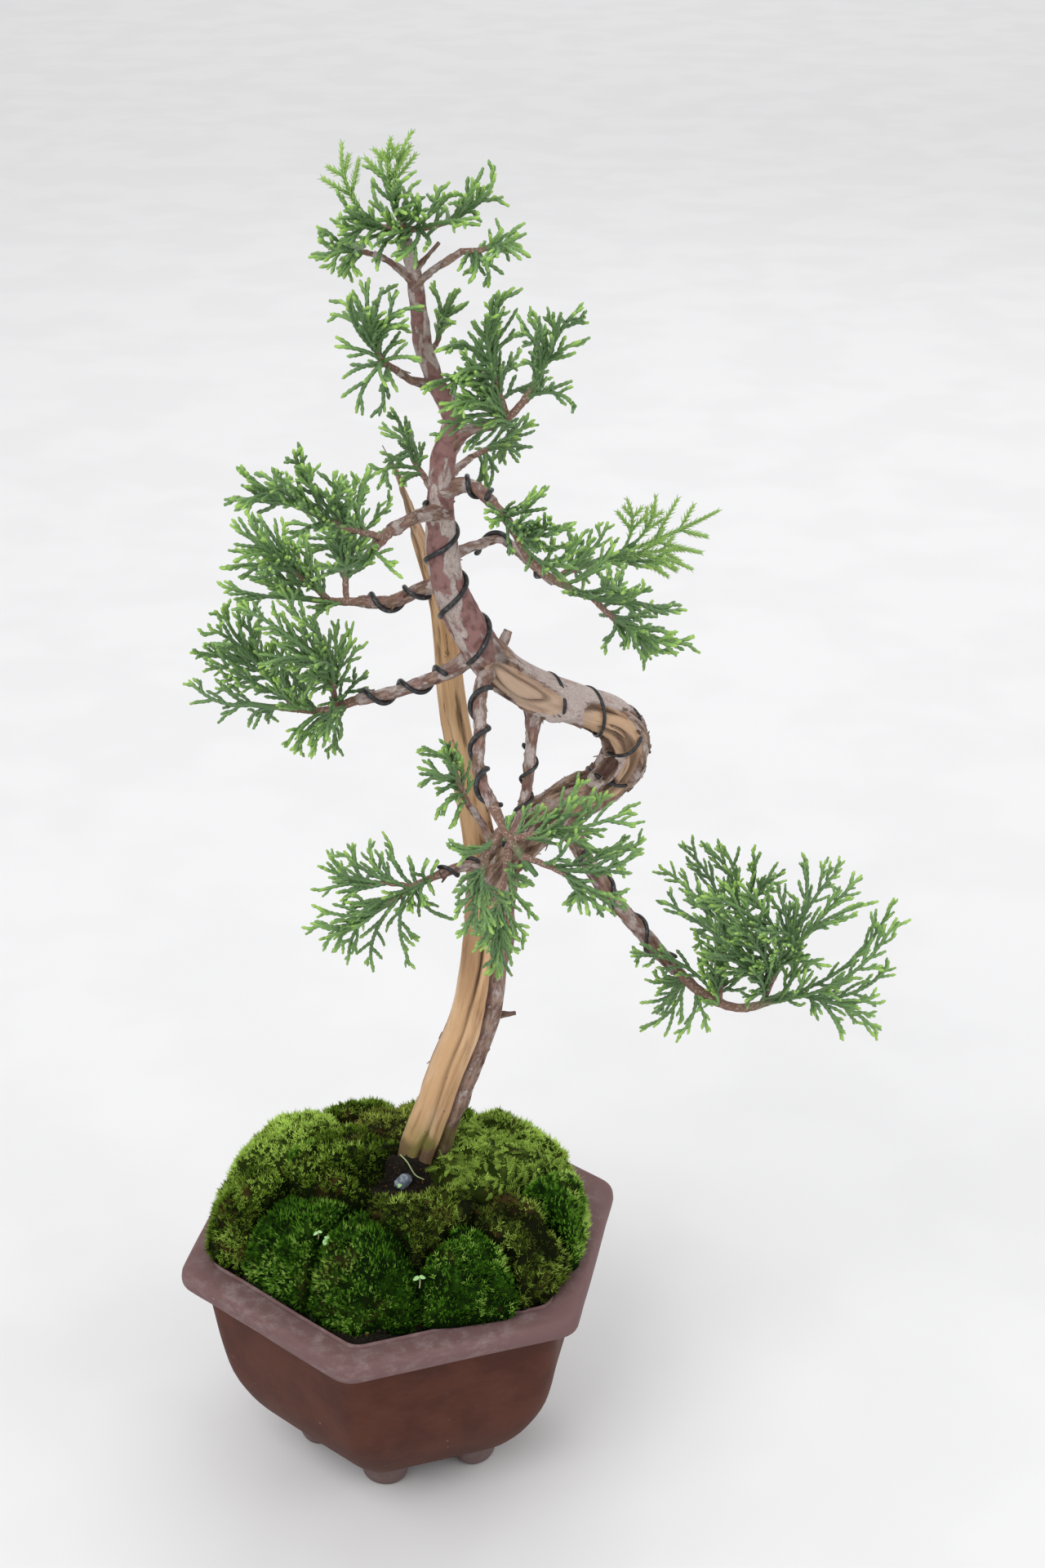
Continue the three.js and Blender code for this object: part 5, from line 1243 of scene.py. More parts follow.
def trunk_skin():
    """The trunk's rings, what its surface is made of at each point, and the shade painted on it."""
    route = Route(TRUNK_ROUTE, WOOD_STEP)
    angles = turns(TRUNK_SIDES)[None, :]
    out = route.outward(angles[0])
    s = route.along[:, None] + 0 * angles
    grain = grain_of(route, angles)
    strand = grain * (1, 1, 0.16)
    phi = np.degrees(np.arctan2(out[..., 1], out[..., 0])) % 360
    low = 1 - rise(s, *LOW_ENDS)
    high = rise(s, *HIGH_STARTS)
    bend = (1 - low) * (1 - high)

    # Lower trunk: two rounded lobes of deadwood, a soft seam, and a vein of living bark.
    seam_at = 254 + 7 * rise(s, 88, 112) + 3 * np.sin(s / 19)
    gully_at = 306 - 14 * rise(s, 75, 115) + 2 * np.sin(s / 13)
    seam = near(phi, seam_at, 9) * low
    seam_deep = near(phi, seam_at + 2, 7) * low * rise(s, 86, 108)
    gully = near(phi, gully_at, 10) * low
    lobes = rise(phi, 168, 176) * (1 - rise(phi, gully_at - 7, gully_at - 4)) * low
    vein = low * (1 - lobes) * (1 - gully)
    bulge = vein * rise(phi, 308, 330) * (0.9 + 1.1 * noise(grain * (0.2, 0.2, 1), 15, 92))
    drop = 0.8 * seam + 0.8 * seam_deep + 1.5 * gully - 0.7 * bulge
    drop = drop - 0.5 * vein * np.tanh(3 * rough(grain * (1, 1, 0.2), 2.8, 93))

    # The bend: carved wood in front, a smooth band of living bark along the top, and rough
    # bark in long plates on the rest.
    strip_at, strip_wide = BARE_STRIP[:, 1:4], BARE_STRIP[:, 4]
    facing = np.stack([np.interp(route.along, BARE_STRIP[:, 0], axis) for axis in strip_at.T], -1)
    half = np.interp(route.along, BARE_STRIP[:, 0], strip_wide)[:, None]
    across = away_from(route, out, facing) + 0.7 * rough(strand, 4, 81)
    carved = (1 - rise(across, half - 0.7, half + 0.3)) * (half > 0.3)
    top = rise(out @ ACROSS_VIEW + 0.25 * noise(grain, 7, 82), 0.45, 0.65) * bend * rise(s, 200, 214)
    neck = near(s + 2.5 * noise(grain, 5, 94), 229, 9) * bend
    smooth = np.clip(top + neck, 0, 1)
    carved = carved * (1 - top)
    wound = oval(route, out, s + 1.2 * noise(grain, 4, 95), *WOUND)
    ridge = oval(route, out, s, *WOUND_RIDGE)
    pocket = oval(route, out, s, *POCKET)
    opened = 1 - rise(wound, 0.86, 1.0)
    callus = near(wound, 1.14, 0.24) * bend + near(pocket, 1.2, 0.35)
    groove = near(ridge, 1.12, 0.28) * opened
    hollow = 1 - rise(pocket, 0.5, 1.0)
    furrow = rise(-rough(strand, 2.6, 83), -0.05, 0.45) * carved
    plated = bend * (1 - carved) * (1 - smooth) * (1 - opened) * (1 - hollow)
    plates = np.tanh(3.5 * rough(grain * (1, 1, 0.24), 2.9, 84))
    plates = plates + 0.5 * noise(grain * (1, 1, 0.5), 1.3, 91)
    raised = rise(plates, 0.5, 1.2)
    corner = near(s, 196, 16) * rise(out[..., 0], 0.1, 0.7)
    drop = drop + 1.6 * furrow + 0.5 * carved - (0.95 + 0.9 * corner) * plates * plated - 0.3 * smooth
    drop = drop + 0.9 * opened - 1.0 * callus + 1.1 * groove - 0.8 * (1 - rise(ridge, 0.5, 1.0))
    drop = drop + 1.9 * hollow + 0.7 * opened * noise(strand, 1.6, 96)
    dead = np.clip(lobes + carved + opened, 0, 1) * (1 - np.clip(callus, 0, 1))

    # Upper trunk: smooth red bark with grey scales.
    scale = rise(rough(grain * (1, 1, 0.6), 5.5, 85) + 0.3 * rise(s, 290, 350), -0.2, 0.25) * high
    drop = drop - 0.25 * scale + 0.25 * high * rough(grain * (1, 1, 0.6), 2.4, 86)

    fibre = noise(strand * (1, 1, 0.5), 1.5, 87) * dead * 0.2 + noise(grain, 6, 88) * 0.25
    reach = route.radius[:, None] * swell(angles, s / route.length) - drop + fibre
    skin = route.skin(np.maximum(reach, 0.4), angles[0])
    grey = np.clip(smooth * 0.95 + scale * 0.85 + callus * 0.8 + vein * 0.45
                   + plated * (0.2 + 0.5 * raised) + carved * 0.5 + opened * 0.95, 0, 1)
    flaky = np.clip(plated + 0.7 * vein + 0.5 * hollow + gully * 0.5, 0, 1)
    crack = rise(-plates, 0.35, 0.95) * plated
    # Painted shade: dark lays the crevice colour over the seam, the gully, the furrows, the groove
    # round the wound's ridge, the hollow and the cracks between bark plates. It also darkens the left
    # lobe low on the trunk.
    dark = seam * 0.2 + seam_deep * 0.5 + gully * 0.42 + furrow * 0.55 + groove * 0.55
    dark = dark + hollow * 0.4 + crack * 0.75 + 0.35 * near(phi, seam_at + 1, 5) * low
    dark = dark + 0.2 * near(s, 116, 30) * lobes * (1 - rise(phi, seam_at - 4, seam_at + 4))
    green = (1 - rise(skin[..., 2], 117, 129)) * rise(noise(grain, 5, 89), -0.6, 0.3)
    # The trunk is darker towards the soil, and the darkening reaches higher up the seam and the gully.
    higher_along_seams = 5 * near(phi, seam_at, 16) + 8 * rise(phi, gully_at - 8, gully_at + 6)
    darker_near_soil = 1 - rise(skin[..., 2] + 3 * noise(grain, 4, 90) - higher_along_seams, 113, 118)
    dark = np.clip(dark + 0.75 * darker_near_soil, 0, 1)
    ragged = plated + 0.35 * vein * rise(s, 40, 70)
    cracked = bend * (1 - 0.75 * opened) + 0.25 * low
    return skin, ragged, dict(dead=dead, flaky=flaky, grey=grey, dark=dark, green=green,
                              cracked=cracked, grain=grain)


def branch_skin(name, rows, seed):
    """A branch's rings, what its surface is made of and the shade painted on it; the jin is bare
    deadwood.
    """
    jin = name == "jin"
    stub = name.startswith("stub")
    route = Route(rows, WOOD_STEP)
    if name in SPRAYS:
        onward = np.subtract(SPRAYS[name][1][0][2], rows[-1][:3])
        route.direction[-1] = unit(route.direction[-1] + unit(onward))
        route.carry()
    angles = turns(JIN_SIDES if jin else BRANCH_SIDES)[None, :]
    grain = grain_of(route, angles) + (seed * 13.7, 0, 0)
    s = route.along[:, None] + 0 * angles
    if jin:
        strand = grain * (1, 1, 0.09)
        ridge = noise(strand, 2.4, seed) * 0.4 + noise(strand, 1.1, seed + 1) * 0.16
        split = rise(-rough(strand, 2.0, seed + 2), 0.32, 0.6) * rise(s, 8, 30)
        reach = route.radius[:, None] * (1 + 0.06 * np.cos(2 * angles + s / 40)) + ridge - 0.7 * split
        dead = 1 + 0 * s
        grey = rise(s, 110, 148) * 0.7
        # Painted shade in the jin's splits.
        flaky, dark = 0 * s, split * 0.6
    else:
        collar = 0.55 * np.exp(-s / 3.4)
        knots = 0.24 * rough(grain * (1, 1, 0.6), 2.6, seed) + 0.2 * rough(grain, 1.2, seed + 1, 2)
        reach = slim(name, route.radius)[:, None] * (1 + collar) + knots
        dead = 0 * s
        grey = np.clip(0.55 + 0.5 * rough(grain, 4, seed + 3), 0.1, 1)
        flaky = np.clip(0.6 + 0.6 * noise(grain, 3, seed + 4), 0, 1)
        # Painted shade where the knots sink in; the low stub is darker all over.
        dark = 0.5 * rise(-knots, 0.08, 0.35) + (0.5 if name == "stub_low" else 0.0)
    skin = route.skin(np.maximum(reach, 0.15), angles[0])
    ragged = 0 * s if jin or stub else 0.45 * flaky
    return skin, ragged, dict(dead=dead, flaky=flaky, grey=grey, dark=dark, green=0 * s,
                              cracked=1 + 0 * s, grain=grain)


def peel(shape, skin, ragged, values, rng):
    """Thin plates of bark that have come loose at one end."""
    corners, out, first = pick_faces(skin, ragged, PLATE_DENSITY, rng)
    count = len(corners)
    if count == 0:
        return
    along = unit(corners[:, 3] - corners[:, 0]) * rng.choice((-1, 1), (count, 1))
    along = unit(along + rng.normal(0, 0.14, (count, 3)))
    side = unit(np.cross(along, out))
    long, wide = rng.uniform(1.2, 3.0, (count, 1)), rng.uniform(0.6, 1.4, (count, 1))
    lift = rng.uniform(0.02, 0.4, (count, 1))
    root = corners[:, 0] - out * 0.15
    points = []
    for part, narrow in ((0, 1.0), (0.5, 0.9), (1, 0.45)):
        middle = root + along * long * part + out * lift * part**2
        for hand in (-1, 1):
            for face in (-0.09, 0.13):
                points.append(middle + side * wide * narrow * hand * 0.5 + out * face)
    points = np.stack(points, 1)
    boxes = []
    for k in (0, 4):
        boxes += [(k, k + 2, k + 6, k + 4), (k + 1, k + 5, k + 7, k + 3)]
        boxes += [(k, k + 4, k + 5, k + 1), (k + 2, k + 3, k + 7, k + 6)]
    boxes += [(0, 1, 3, 2), (8, 10, 11, 9)]
    numbers = 12 * np.arange(count)[:, None, None] + np.array(boxes)
    values = {key: np.repeat(value.reshape(-1, *value.shape[2:])[first], 12, axis=0)
              for key, value in values.items()}
    values["dark"] = np.repeat(rng.uniform(0, 0.35, count), 12)
    values["grey"] = np.repeat(rng.uniform(0, 1, count), 12)
    values["flaky"] = np.ones(12 * count)
    shape.add(points.reshape(-1, 3), [numbers.reshape(-1, 4)], **values)


def wood_finish(looks):
    f = Finish("bark_and_deadwood")
    grain, place = f.value("grain", "Vector"), f.place()

    def drawn_out(along, size, **rest):
        """Noise whose lumps are drawn out along the grain."""
        return f.noise(f.times(grain, (1, 1, along)), size, **rest)

    fibre = drawn_out(0.07, 0.9, detail=5, roughness=0.6)
    stripe = drawn_out(0.07, 2.3, detail=3)
    cloud = drawn_out(0.2, 5, detail=3)
    fine = f.noise(place, 0.6, detail=5, roughness=0.65)

    wood = f.mix(looks.deadwood, looks.deadwood_pale, cloud.rise(0.45, 0.75) * 0.8)
    wood = f.mix(wood, looks.deadwood_streak, stripe.rise(0.45, 0.7) * 0.65)
    stain = drawn_out(0.12, 7, detail=4).rise(0.48, 0.66)
    wood = f.mix(wood, looks.deadwood_streak, stain * 0.45)
    check = abs(drawn_out(0.07, 1.7, detail=4) - 0.5).rise(0.016, 0.003) * stripe.rise(0.5, 0.62)
    check = check * f.value("cracked")
    wood = f.mix(wood, looks.deadwood_line, check * 0.7 + fibre.rise(0.62, 0.8) * 0.22)
    speck = f.cells(place, 4.2).rise(0.1, 0.05) * f.noise(place, 9).rise(0.5, 0.6)
    wood = f.mix(wood, looks.deadwood_line, speck * 0.7)

    smooth = f.mix(looks.red_bark, looks.red_bark_deep, f.noise(place, 2.6, detail=4).rise(0.42, 0.66))
    flake = drawn_out(0.3, 1.6, detail=5, roughness=0.6)
    flaky = f.mix(looks.rough_bark, looks.rough_bark_pale, flake.rise(0.44, 0.64))
    # Painted shade in the low parts between the flakes.
    flaky = f.mix(flaky, looks.crevice, flake.rise(0.42, 0.33) * 0.8)
    bark = f.mix(smooth, flaky, f.value("flaky"))
    scale = drawn_out(0.5, 1.9, detail=6, roughness=0.65)
    patch = (scale + f.value("grey") * 0.42 - 0.21).rise(0.45, 0.63)
    pale = f.mix(looks.grey_scale, looks.grey_scale_pale, fine.rise(0.42, 0.66))
    blush = drawn_out(0.4, 3.2, detail=4).rise(0.5, 0.68)
    pale = f.mix(pale, looks.red_bark, blush * 0.45)
    bark = f.mix(bark, pale, patch)

    dead = (f.value("dead") + (fine - 0.5) * 0.35).rise(0.4, 0.6)
    colour = f.mix(bark, wood, dead)
    colour = f.mix(colour, looks.grey_scale, f.value("grey") * dead * 0.55)
    # The dark value lays the crevice colour on: painted shade in seams, cracks, splits and hollows,
    # darker patches low on the trunk, and a random darkening of loose bark plates.
    colour = f.mix(colour, looks.crevice, f.value("dark"))
    colour = f.mix(colour, looks.algae, f.value("green") * cloud.rise(0.3, 0.6) * 0.75)
    wooden = fibre * 1.1 + stripe * 0.5 - check * 0.9
    barky = flake * f.value("flaky") * 1.6 + patch * 0.55 + fine * 0.45
    height = wooden * dead + barky * (1 - dead)
    gloss = 0.74 - 0.12 * (1 - f.value("flaky")) * (1 - dead)
    return f.done(height, depth=0.45, strength=0.9, Base_Color=colour, Roughness=gloss,
                  Specular_IOR_Level=0.3)


def make_tree(looks):
    """Trunk, jin, branches and stubs, in one piece as they grew."""
    rng = np.random.default_rng(SEEDS["wood"])
    shape = Shape()
    skin, ragged, values = trunk_skin()
    shape.tube(skin, **values)
    peel(shape, skin, ragged, values, rng)
    for k, (name, rows) in enumerate(BRANCH_ROUTES.items()):
        skin, ragged, values = branch_skin(name, rows, SEEDS["branches"] + 10 * k)
        shape.tube(skin, **values)
        peel(shape, skin, ragged, values, rng)
    shape.piece("wood_of_the_tree", wood_finish(looks), "bark", ["tree"])


# The training wires.

WIRE_SLIM = 0.77
HOSTS = {name: Route(rows, 0.8) for name, rows in WOOD_ROUTES.items()}


def wood_near(host, angle, place):
    """The trunk's or a branch's reach at an angle round it and a station number."""
    route = HOSTS[host]
    reach = between(route.radius, place)
    if host != "trunk":
        return slim(host, reach) + 0.1
    return reach * swell(angle, place / (len(route.points) - 1)) + 0.1


def wire_path(host, start, end, coils, thick, first):
    """A wire's middle line: a coil on its host, pushed out of all other wood."""
    route = HOSTS[host]
    share = np.linspace(0, 1, int(coils * 26) + 1)
    place = (start + (end - start) * share) * (len(route.points) - 1)
    angle = math.radians(first) + coils * 2 * math.pi * share
    side, up = between(route.side, place), between(route.up, place)
    reach = wood_near(host, angle, place) + thick
    off = np.cos(angle)[:, None] * side + np.sin(angle)[:, None] * up
    path = between(route.points, place) + reach[:, None] * off
    for _ in range(6):
        for name, other in HOSTS.items():
            if name == host:
                continue
            gap = path[:, None] - other.points[None]
            lack = slim(name, other.radius) * 1.06 + thick + 0.2 - np.linalg.norm(gap, axis=-1)
            worst = lack.argmax(axis=1)
            rows = np.arange(len(path))
            push = np.maximum(lack[rows, worst], 0)[:, None]
            path = path + unit(gap[rows, worst]) * push
        path[1:-1] = path[1:-1] * 0.7 + 0.15 * (path[2:] + path[:-2])
    return path


def wire_finish(looks):
    f = Finish("anodised_wire")
    scuff = f.noise(f.place(), 1.1, detail=4)
    colour = f.mix(looks.wire, looks.wire_worn, scuff.rise(0.5, 0.72) * 0.8)
    gloss = 0.3 + scuff * 0.22
    return f.done(scuff, depth=0.04, Base_Color=colour, Metallic=0.75, Roughness=gloss)


def make_wires(looks):
    """The training wires, each a coil with rounded ends."""
    finish = wire_finish(looks)
    for name, (start, end, coils, r, first) in WIRES.items():
        r = r * WIRE_SLIM * looks.wire_thickness
        path = wire_path(name if name in HOSTS else "trunk", start, end, coils, r, first)
        route = Route(np.column_stack([path, np.full(len(path), r)]), 0.6)
        cap = np.minimum(route.along, route.length - route.along)
        radius = r * np.sqrt(np.clip(1 - (1 - np.minimum(cap / r, 1)) ** 2, 0.02, 1))
        shape = Shape()
        shape.tube(route.skin(radius[:, None], turns(12)))
        shape.piece("training_wire_" + name, finish, "wire", ["wire_" + name])


# The foliage.

# Cords: length of a leaf on them, how far leaf tips stand out, the radius from which they have
# six sides, the length over which the green deepens behind a tip, the last ring and the point
# beyond it in shares of the radius there.
LEAF_STEP = 0.95
LEAF_STANDS = 0.2
STOUT_CORD = 0.59
GREEN_AGE = 8.5
LAST_RING = 0.72
CORD_POINT = 0.6

# Radii of the cords: a leading shoot at both ends, its companions, side shoots and twigs, and at
# both ends a needled shoot and its side shoots.
LEADING_R = 0.63
LEADING_TIP_R = 0.52
COMPANION_R = 0.6
SIDE_R = 0.57
TWIG_R = 0.53
NEEDLED_R = (0.55, 0.4)
NEEDLED_SIDE_R = (0.45, 0.38)

# How a spray's shoots grow: the gap between side shoots, the length of these, the share of the
# shoot that stays bare, the share of side shoots with twigs, and companions for each shoot.
STYLES = {
    "full": (3.2, 1.0, 0.2, 0.32, 1.1),
    "open": (4.1, 1.05, 0.3, 0.2, 1.1),
    "lean": (5.4, 1.1, 0.42, 0.1, 0.7),
}

# Tips of the young shoots that still have needles.
NEEDLED_TIPS = [
    (98, 14, 328), (80, 20, 330), (71, 10, 333), (89, 24, 312), (90, 6, 313),
    (11, -20, 445), (6, -28, 445), (-7, -24, 443),
]


class Cords:
    """Bent cords of overlapping scale leaves, gathered first and then made all at once."""

    def __init__(self, thickness):
        self.rows = []
        self.thickness = thickness

    def add(self, start, bow, end, r0, r1, age, tone):
        """A cord through three points, with its two radii, its tip's age and its tone."""
        radii = r0 * self.thickness, r1 * self.thickness
        self.rows.append([*start, *bow, *end, *radii, age, tone])

    def into(self, shape):
        data = np.array(self.rows)
        chord = np.linalg.norm(data[:, 6:9] - data[:, 0:3], axis=1)
        rings = np.maximum(4, np.round(chord * 1.04 / LEAF_STEP).astype(int) + 1)
        stout = data[:, 9] > STOUT_CORD
        for n in np.unique(rings):
            for sides, which in ((6, stout), (4, ~stout)):
                if np.any(which & (rings == n)):
                    self.group(shape, data[which & (rings == n)], n, sides)

    def group(self, shape, rows, n, sides):
        """Cords with n rings each; every second corner of a ring stands out as a leaf's tip."""
        t = np.linspace(0, 1, n)[None, :, None]
        a, b, c = (rows[:, None, k : k + 3] for k in (0, 3, 6))
        first_r, last_r, tip_age, tone = rows[:, 9:].T[..., None]
        path, way = bezier(a, b, c, t), heading(a, b, c, t)
        start = unit(np.cross(c - a, (0.37, 0.21, 0.9)))
        side = unit(start - np.sum(start * way, -1, keepdims=True) * way)
        up = np.cross(way, side)
        share = t[..., 0]
        radius = first_r + (last_r - first_r) * share
        radius = radius * np.where(share > 0.999, LAST_RING, 1.0)
        turn = turns(sides)
        stands = (np.arange(n)[:, None] + np.arange(sides)) % 2
        reach = radius[..., None] * (1 + LEAF_STANDS * (2 * stands - 1))
        off = np.cos(turn)[:, None] * side[:, :, None] + np.sin(turn)[:, None] * up[:, :, None]
        points = path[:, :, None] + reach[..., None] * off
        tips = path[:, -1] + way[:, -1] * last_r * CORD_POINT
        count, each = len(rows), n * sides + 1
        points = np.concatenate([points.reshape(count, -1, 3), tips[:, None]], 1)
        first = each * np.arange(count)[:, None, None]
        quads = first + ring_quads(n, sides)
        caps = first + fan(n * sides, (n - 1) * sides + np.arange(sides))
        long = np.linalg.norm(c - a, axis=-1)
        age = np.clip(tip_age + (1 - share) * long / GREEN_AGE, 0, 1)
        age = np.repeat(age, sides, axis=1)
        age = np.concatenate([age, age[:, -1:]], 1)
        leaf = np.append(stands.ravel(), 1)
        shape.add(points, [quads.reshape(-1, 4), caps.reshape(-1, 3)], age=age.ravel(),
                  leaf=np.tile(leaf, count), tone=np.repeat(tone, each), woody=0.0)


def grow_sides(cords, a, b, c, face, style, rng, tone, twigs=False):
    """Side shoots along a shoot's curve to either hand in turn, closer and shorter near its tip."""
    gap, long, bare, branched, _ = STYLES[style]
    length = np.linalg.norm(c - a)
    s = max(2.5, bare * length) if not twigs else 0.45 * length
    hand = 1 if rng.random() < 0.5 else -1
    while s < length - 0.5:
        t = s / length
        start, way = bezier(a, b, c, t), heading(a, b, c, t)
        plane = unit(turned(face, way, rng.normal(0, 0.65)))
        across = unit(np.cross(plane, way)) * hand
        angle = math.radians(rng.uniform(30, 50))
        aim = way * math.cos(angle) + across * math.sin(angle)
        if twigs:
            size, r = rng.uniform(2.0, 3.8), TWIG_R
        else:
            size, r = min(0.5 * (length - s) + 2.6, 9.5) * rng.uniform(0.6, 1.15) * long, SIDE_R
        bow = start + aim * size * 0.5
        end = start + unit(aim + way * 0.4) * size + rng.normal(0, 0.07 * size, 3)
        age = np.clip(0.35 * (1 - t) + rng.uniform(-0.15, 0.35), 0, 1)
        cords.add(start, bow, end, r, r * 0.92, age, tone)
        if not twigs and size > 3.4 and rng.random() < branched + 0.35 * t:
            grow_sides(cords, start, bow, end, plane, style, rng, tone, True)
        s += (gap * (1.25 - 0.5 * t) if not twigs else 2.0) * rng.uniform(0.7, 1.3)
        hand = -hand


def needles(shape, a, b, c, rng, tone):
    """Whorls of short sharp needles, as on young shoots."""
    length = np.linalg.norm(c - a)
    base, way, size = [], [], []
    turn = 0.0
    for s in np.arange(0.25 * length, length + 0.4, 0.75):
        t = min(s / length, 1.0)
        ahead = heading(a, b, c, t)
        side = unit(np.cross(ahead, (0.3, 0.2, 0.9)))
        for k in range(3):
            spoke = turned(side, ahead, turn + k * 2 * math.pi / 3)
            base.append(bezier(a, b, c, t))
            way.append(unit(ahead * 0.9 + spoke * (1 - 0.5 * t)))
            size.append(rng.uniform(2.2, 3.2) * (1 - 0.35 * t))
        turn += math.pi / 3
    base, way, size = np.array(base), np.array(way), np.array(size)
    spikes(shape, base, way, size, 0.34, age=0.0, leaf=1.0, tone=tone, woody=0.0)


def root_for(tip, stems, taken):
    """Where on the stems a shoot to this tip grows from, as the part's source chooses it, and the
    stem's direction there."""
    best = None
    for k, stem in enumerate(stems):
        for row in range(len(stem.points) - 1):
            for part in (0, 0.5):
                if k + row == 0:
                    continue
                place = row + part
                p = between(stem.points, np.array([place]))[0]
                way = unit(between(stem.direction, np.array([place]))[0])
                away = tip - p
                crowded = sum(np.linalg.norm(q - p) < 2.8 for q in taken)
                cost = np.linalg.norm(away) - 0.55 * np.dot(away, way) + 2.5 * crowded
                if best is None or cost < best[0]:
                    best = (cost, p, way)
    return best[1:]


def leaf_finish(looks):
    f = Finish("scale_leaves")
    place = f.place()
    age, leaf, tone = f.value("age"), f.value("leaf"), f.value("tone")
    cloud = f.noise(place, 9, detail=2)
    deep = (age * 0.75 + tone * 0.5 + cloud - 0.5).rise(0.25, 1.1)
    colour = f.mix(looks.leaf, looks.leaf_deep, deep)
    colour = f.mix(colour, looks.leaf_young, (1 - age * 2.3 - tone * 0.3).rise(0.0, 0.8) * 0.95)
    colour = f.mix(colour, looks.leaf_edge, leaf * 0.3)
    fine = f.noise(place, 0.7, detail=3)
    twig = f.mix(looks.twig, looks.twig_pale, fine.rise(0.48, 0.66))
    woody = (f.value("woody") + (fine - 0.5) * 0.5).rise(0.3, 0.7)
    colour = f.mix(colour, twig, woody)
    return f.done(fine, depth=0.12, strength=0.7, Base_Color=colour, Roughness=0.5 + woody * 0.25,
                  Specular_IOR_Level=0.35)


def grow_shoot(cords, start, bow, tip, face, style, rng, tone, r=LEADING_R):
    """A leading shoot with its side shoots."""
    cords.add(start, bow, tip, r, LEADING_TIP_R, 0.0, tone)
    grow_sides(cords, start, bow, tip, face, style, rng, tone)


def grow_needled(shape, cords, start, bow, tip, face, rng):
    """A young shoot that still has needles, with two pairs of side shoots."""
    cords.add(start, bow, tip, *NEEDLED_R, 0.0, 0.0)
    needles(shape, start, bow, tip, rng, 0.0)
    length = np.linalg.norm(tip - start)
    ahead = unit(tip - start)
    for t in (0.4, 0.64):
        for hand in (-1, 1):
            base = bezier(start, bow, tip, t)
            aim = unit(ahead * 0.8 + unit(np.cross(face, ahead)) * hand * 0.6)
            end = base + aim * length * (0.95 - t) * 0.75
            middle = (base + end) / 2 + aim * 0.3
            cords.add(base, middle, end, *NEEDLED_SIDE_R, 0.0, 0.0)
            needles(shape, base, middle, end, rng, 0.0)


def make_spray(name, looks, finish, seed):
    """One spray: its stems and every scale-leaved shoot on them."""
    rng = np.random.default_rng(seed)
    shape, cords = Shape(), Cords(looks.shoot_thickness)
    style, stems, tips = SPRAYS[name]
    coarse = []
    for k, (r0, r1, *points) in enumerate(stems):
        if k == 0:
            points.insert(0, WOOD_ROUTES[name][-1][:3])
        rows = [(*p, r0 + (r1 - r0) * i / (len(points) - 1)) for i, p in enumerate(points)]
        coarse.append(Route(rows, 4.8))
        stem = Route(rows, 0.7)
        knots = 0.2 * rough(stem.points[:, None] + stem.outward(EIGHTHS), 1.6, seed, 2)
        skin = stem.skin(stem.radius[:, None] * STEM_SLIM + knots, EIGHTHS)
        woody = np.clip(1.25 - 1.2 * stem.along / stem.length, 0, 1)[:, None] + 0 * EIGHTHS
        shape.tube(skin, age=1.0, leaf=0.0, tone=0.5, woody=woody)
    taken = []
    for tip in np.array(tips, float):
        start, way = root_for(tip, coarse, taken)
        taken.append(start)
        chord = tip - start
        length = np.linalg.norm(chord)
        bend = unit(way - np.dot(way, unit(chord)) * unit(chord))
        bend = turned(bend, unit(chord), rng.uniform(-0.6, 0.6))
        bow = (start + tip) / 2 + bend * 0.26 * length
        tone = rng.uniform(0, 1)
        face = unit(np.array([0, -1, 0.4]) + rng.normal(0, 0.8, 3))
        if tuple(tip.astype(int)) in NEEDLED_TIPS:
            grow_needled(shape, cords, start, bow, tip, face, rng)
            continue
        grow_shoot(cords, start, bow, tip, face, style, rng, tone)
        for _ in range(int(STYLES[style][4] + rng.random()) if length > 7 else 0):
            swing = turned(chord, unit(rng.normal(size=3)), rng.uniform(0.3, 0.8))
            swing = swing * rng.uniform(0.45, 0.8)
            root = start - way * rng.uniform(1.0, 2.2)
            middle = root + swing * 0.5 + bend * 0.15 * length
            paler = min(tone + 0.35, 1)
            grow_shoot(cords, root, middle, root + swing, face, style, rng, paler, COMPANION_R)
    cords.into(shape)
    shape.piece("foliage_" + name, finish, "foliage", ["spray_" + name])


def make_sprays(looks):
    """All the sprays of foliage."""
    finish = leaf_finish(looks)
    for k, name in enumerate(SPRAYS):
        make_spray(name, looks, finish, SEEDS["sprays"] + k)


# The stage: a pale floor, soft light and the photograph's camera.

# The camera's place in millimetres from the pot's axis and the long side of its sensor, and the
# lights: name, place, the place they aim at and size in metres, and power in watts.
EYE = (40.25, -670.8, 572.5)
SENSOR = 36
TREE = (0, 0, 0.22)
LIGHTS = [
    ("key_light", (-0.8, -1.0, 1.6), TREE, 1.3, 17),
    ("fill_light", (1.3, -0.6, 0.9), TREE, 1.4, 6),
    ("back_light", (0.3, 1.2, 1.3), TREE, 1.2, 5),
    ("floor_light", (0.2, 3.4, 2.6), (0.2, 3.6, 0), 2.6, 22),
]


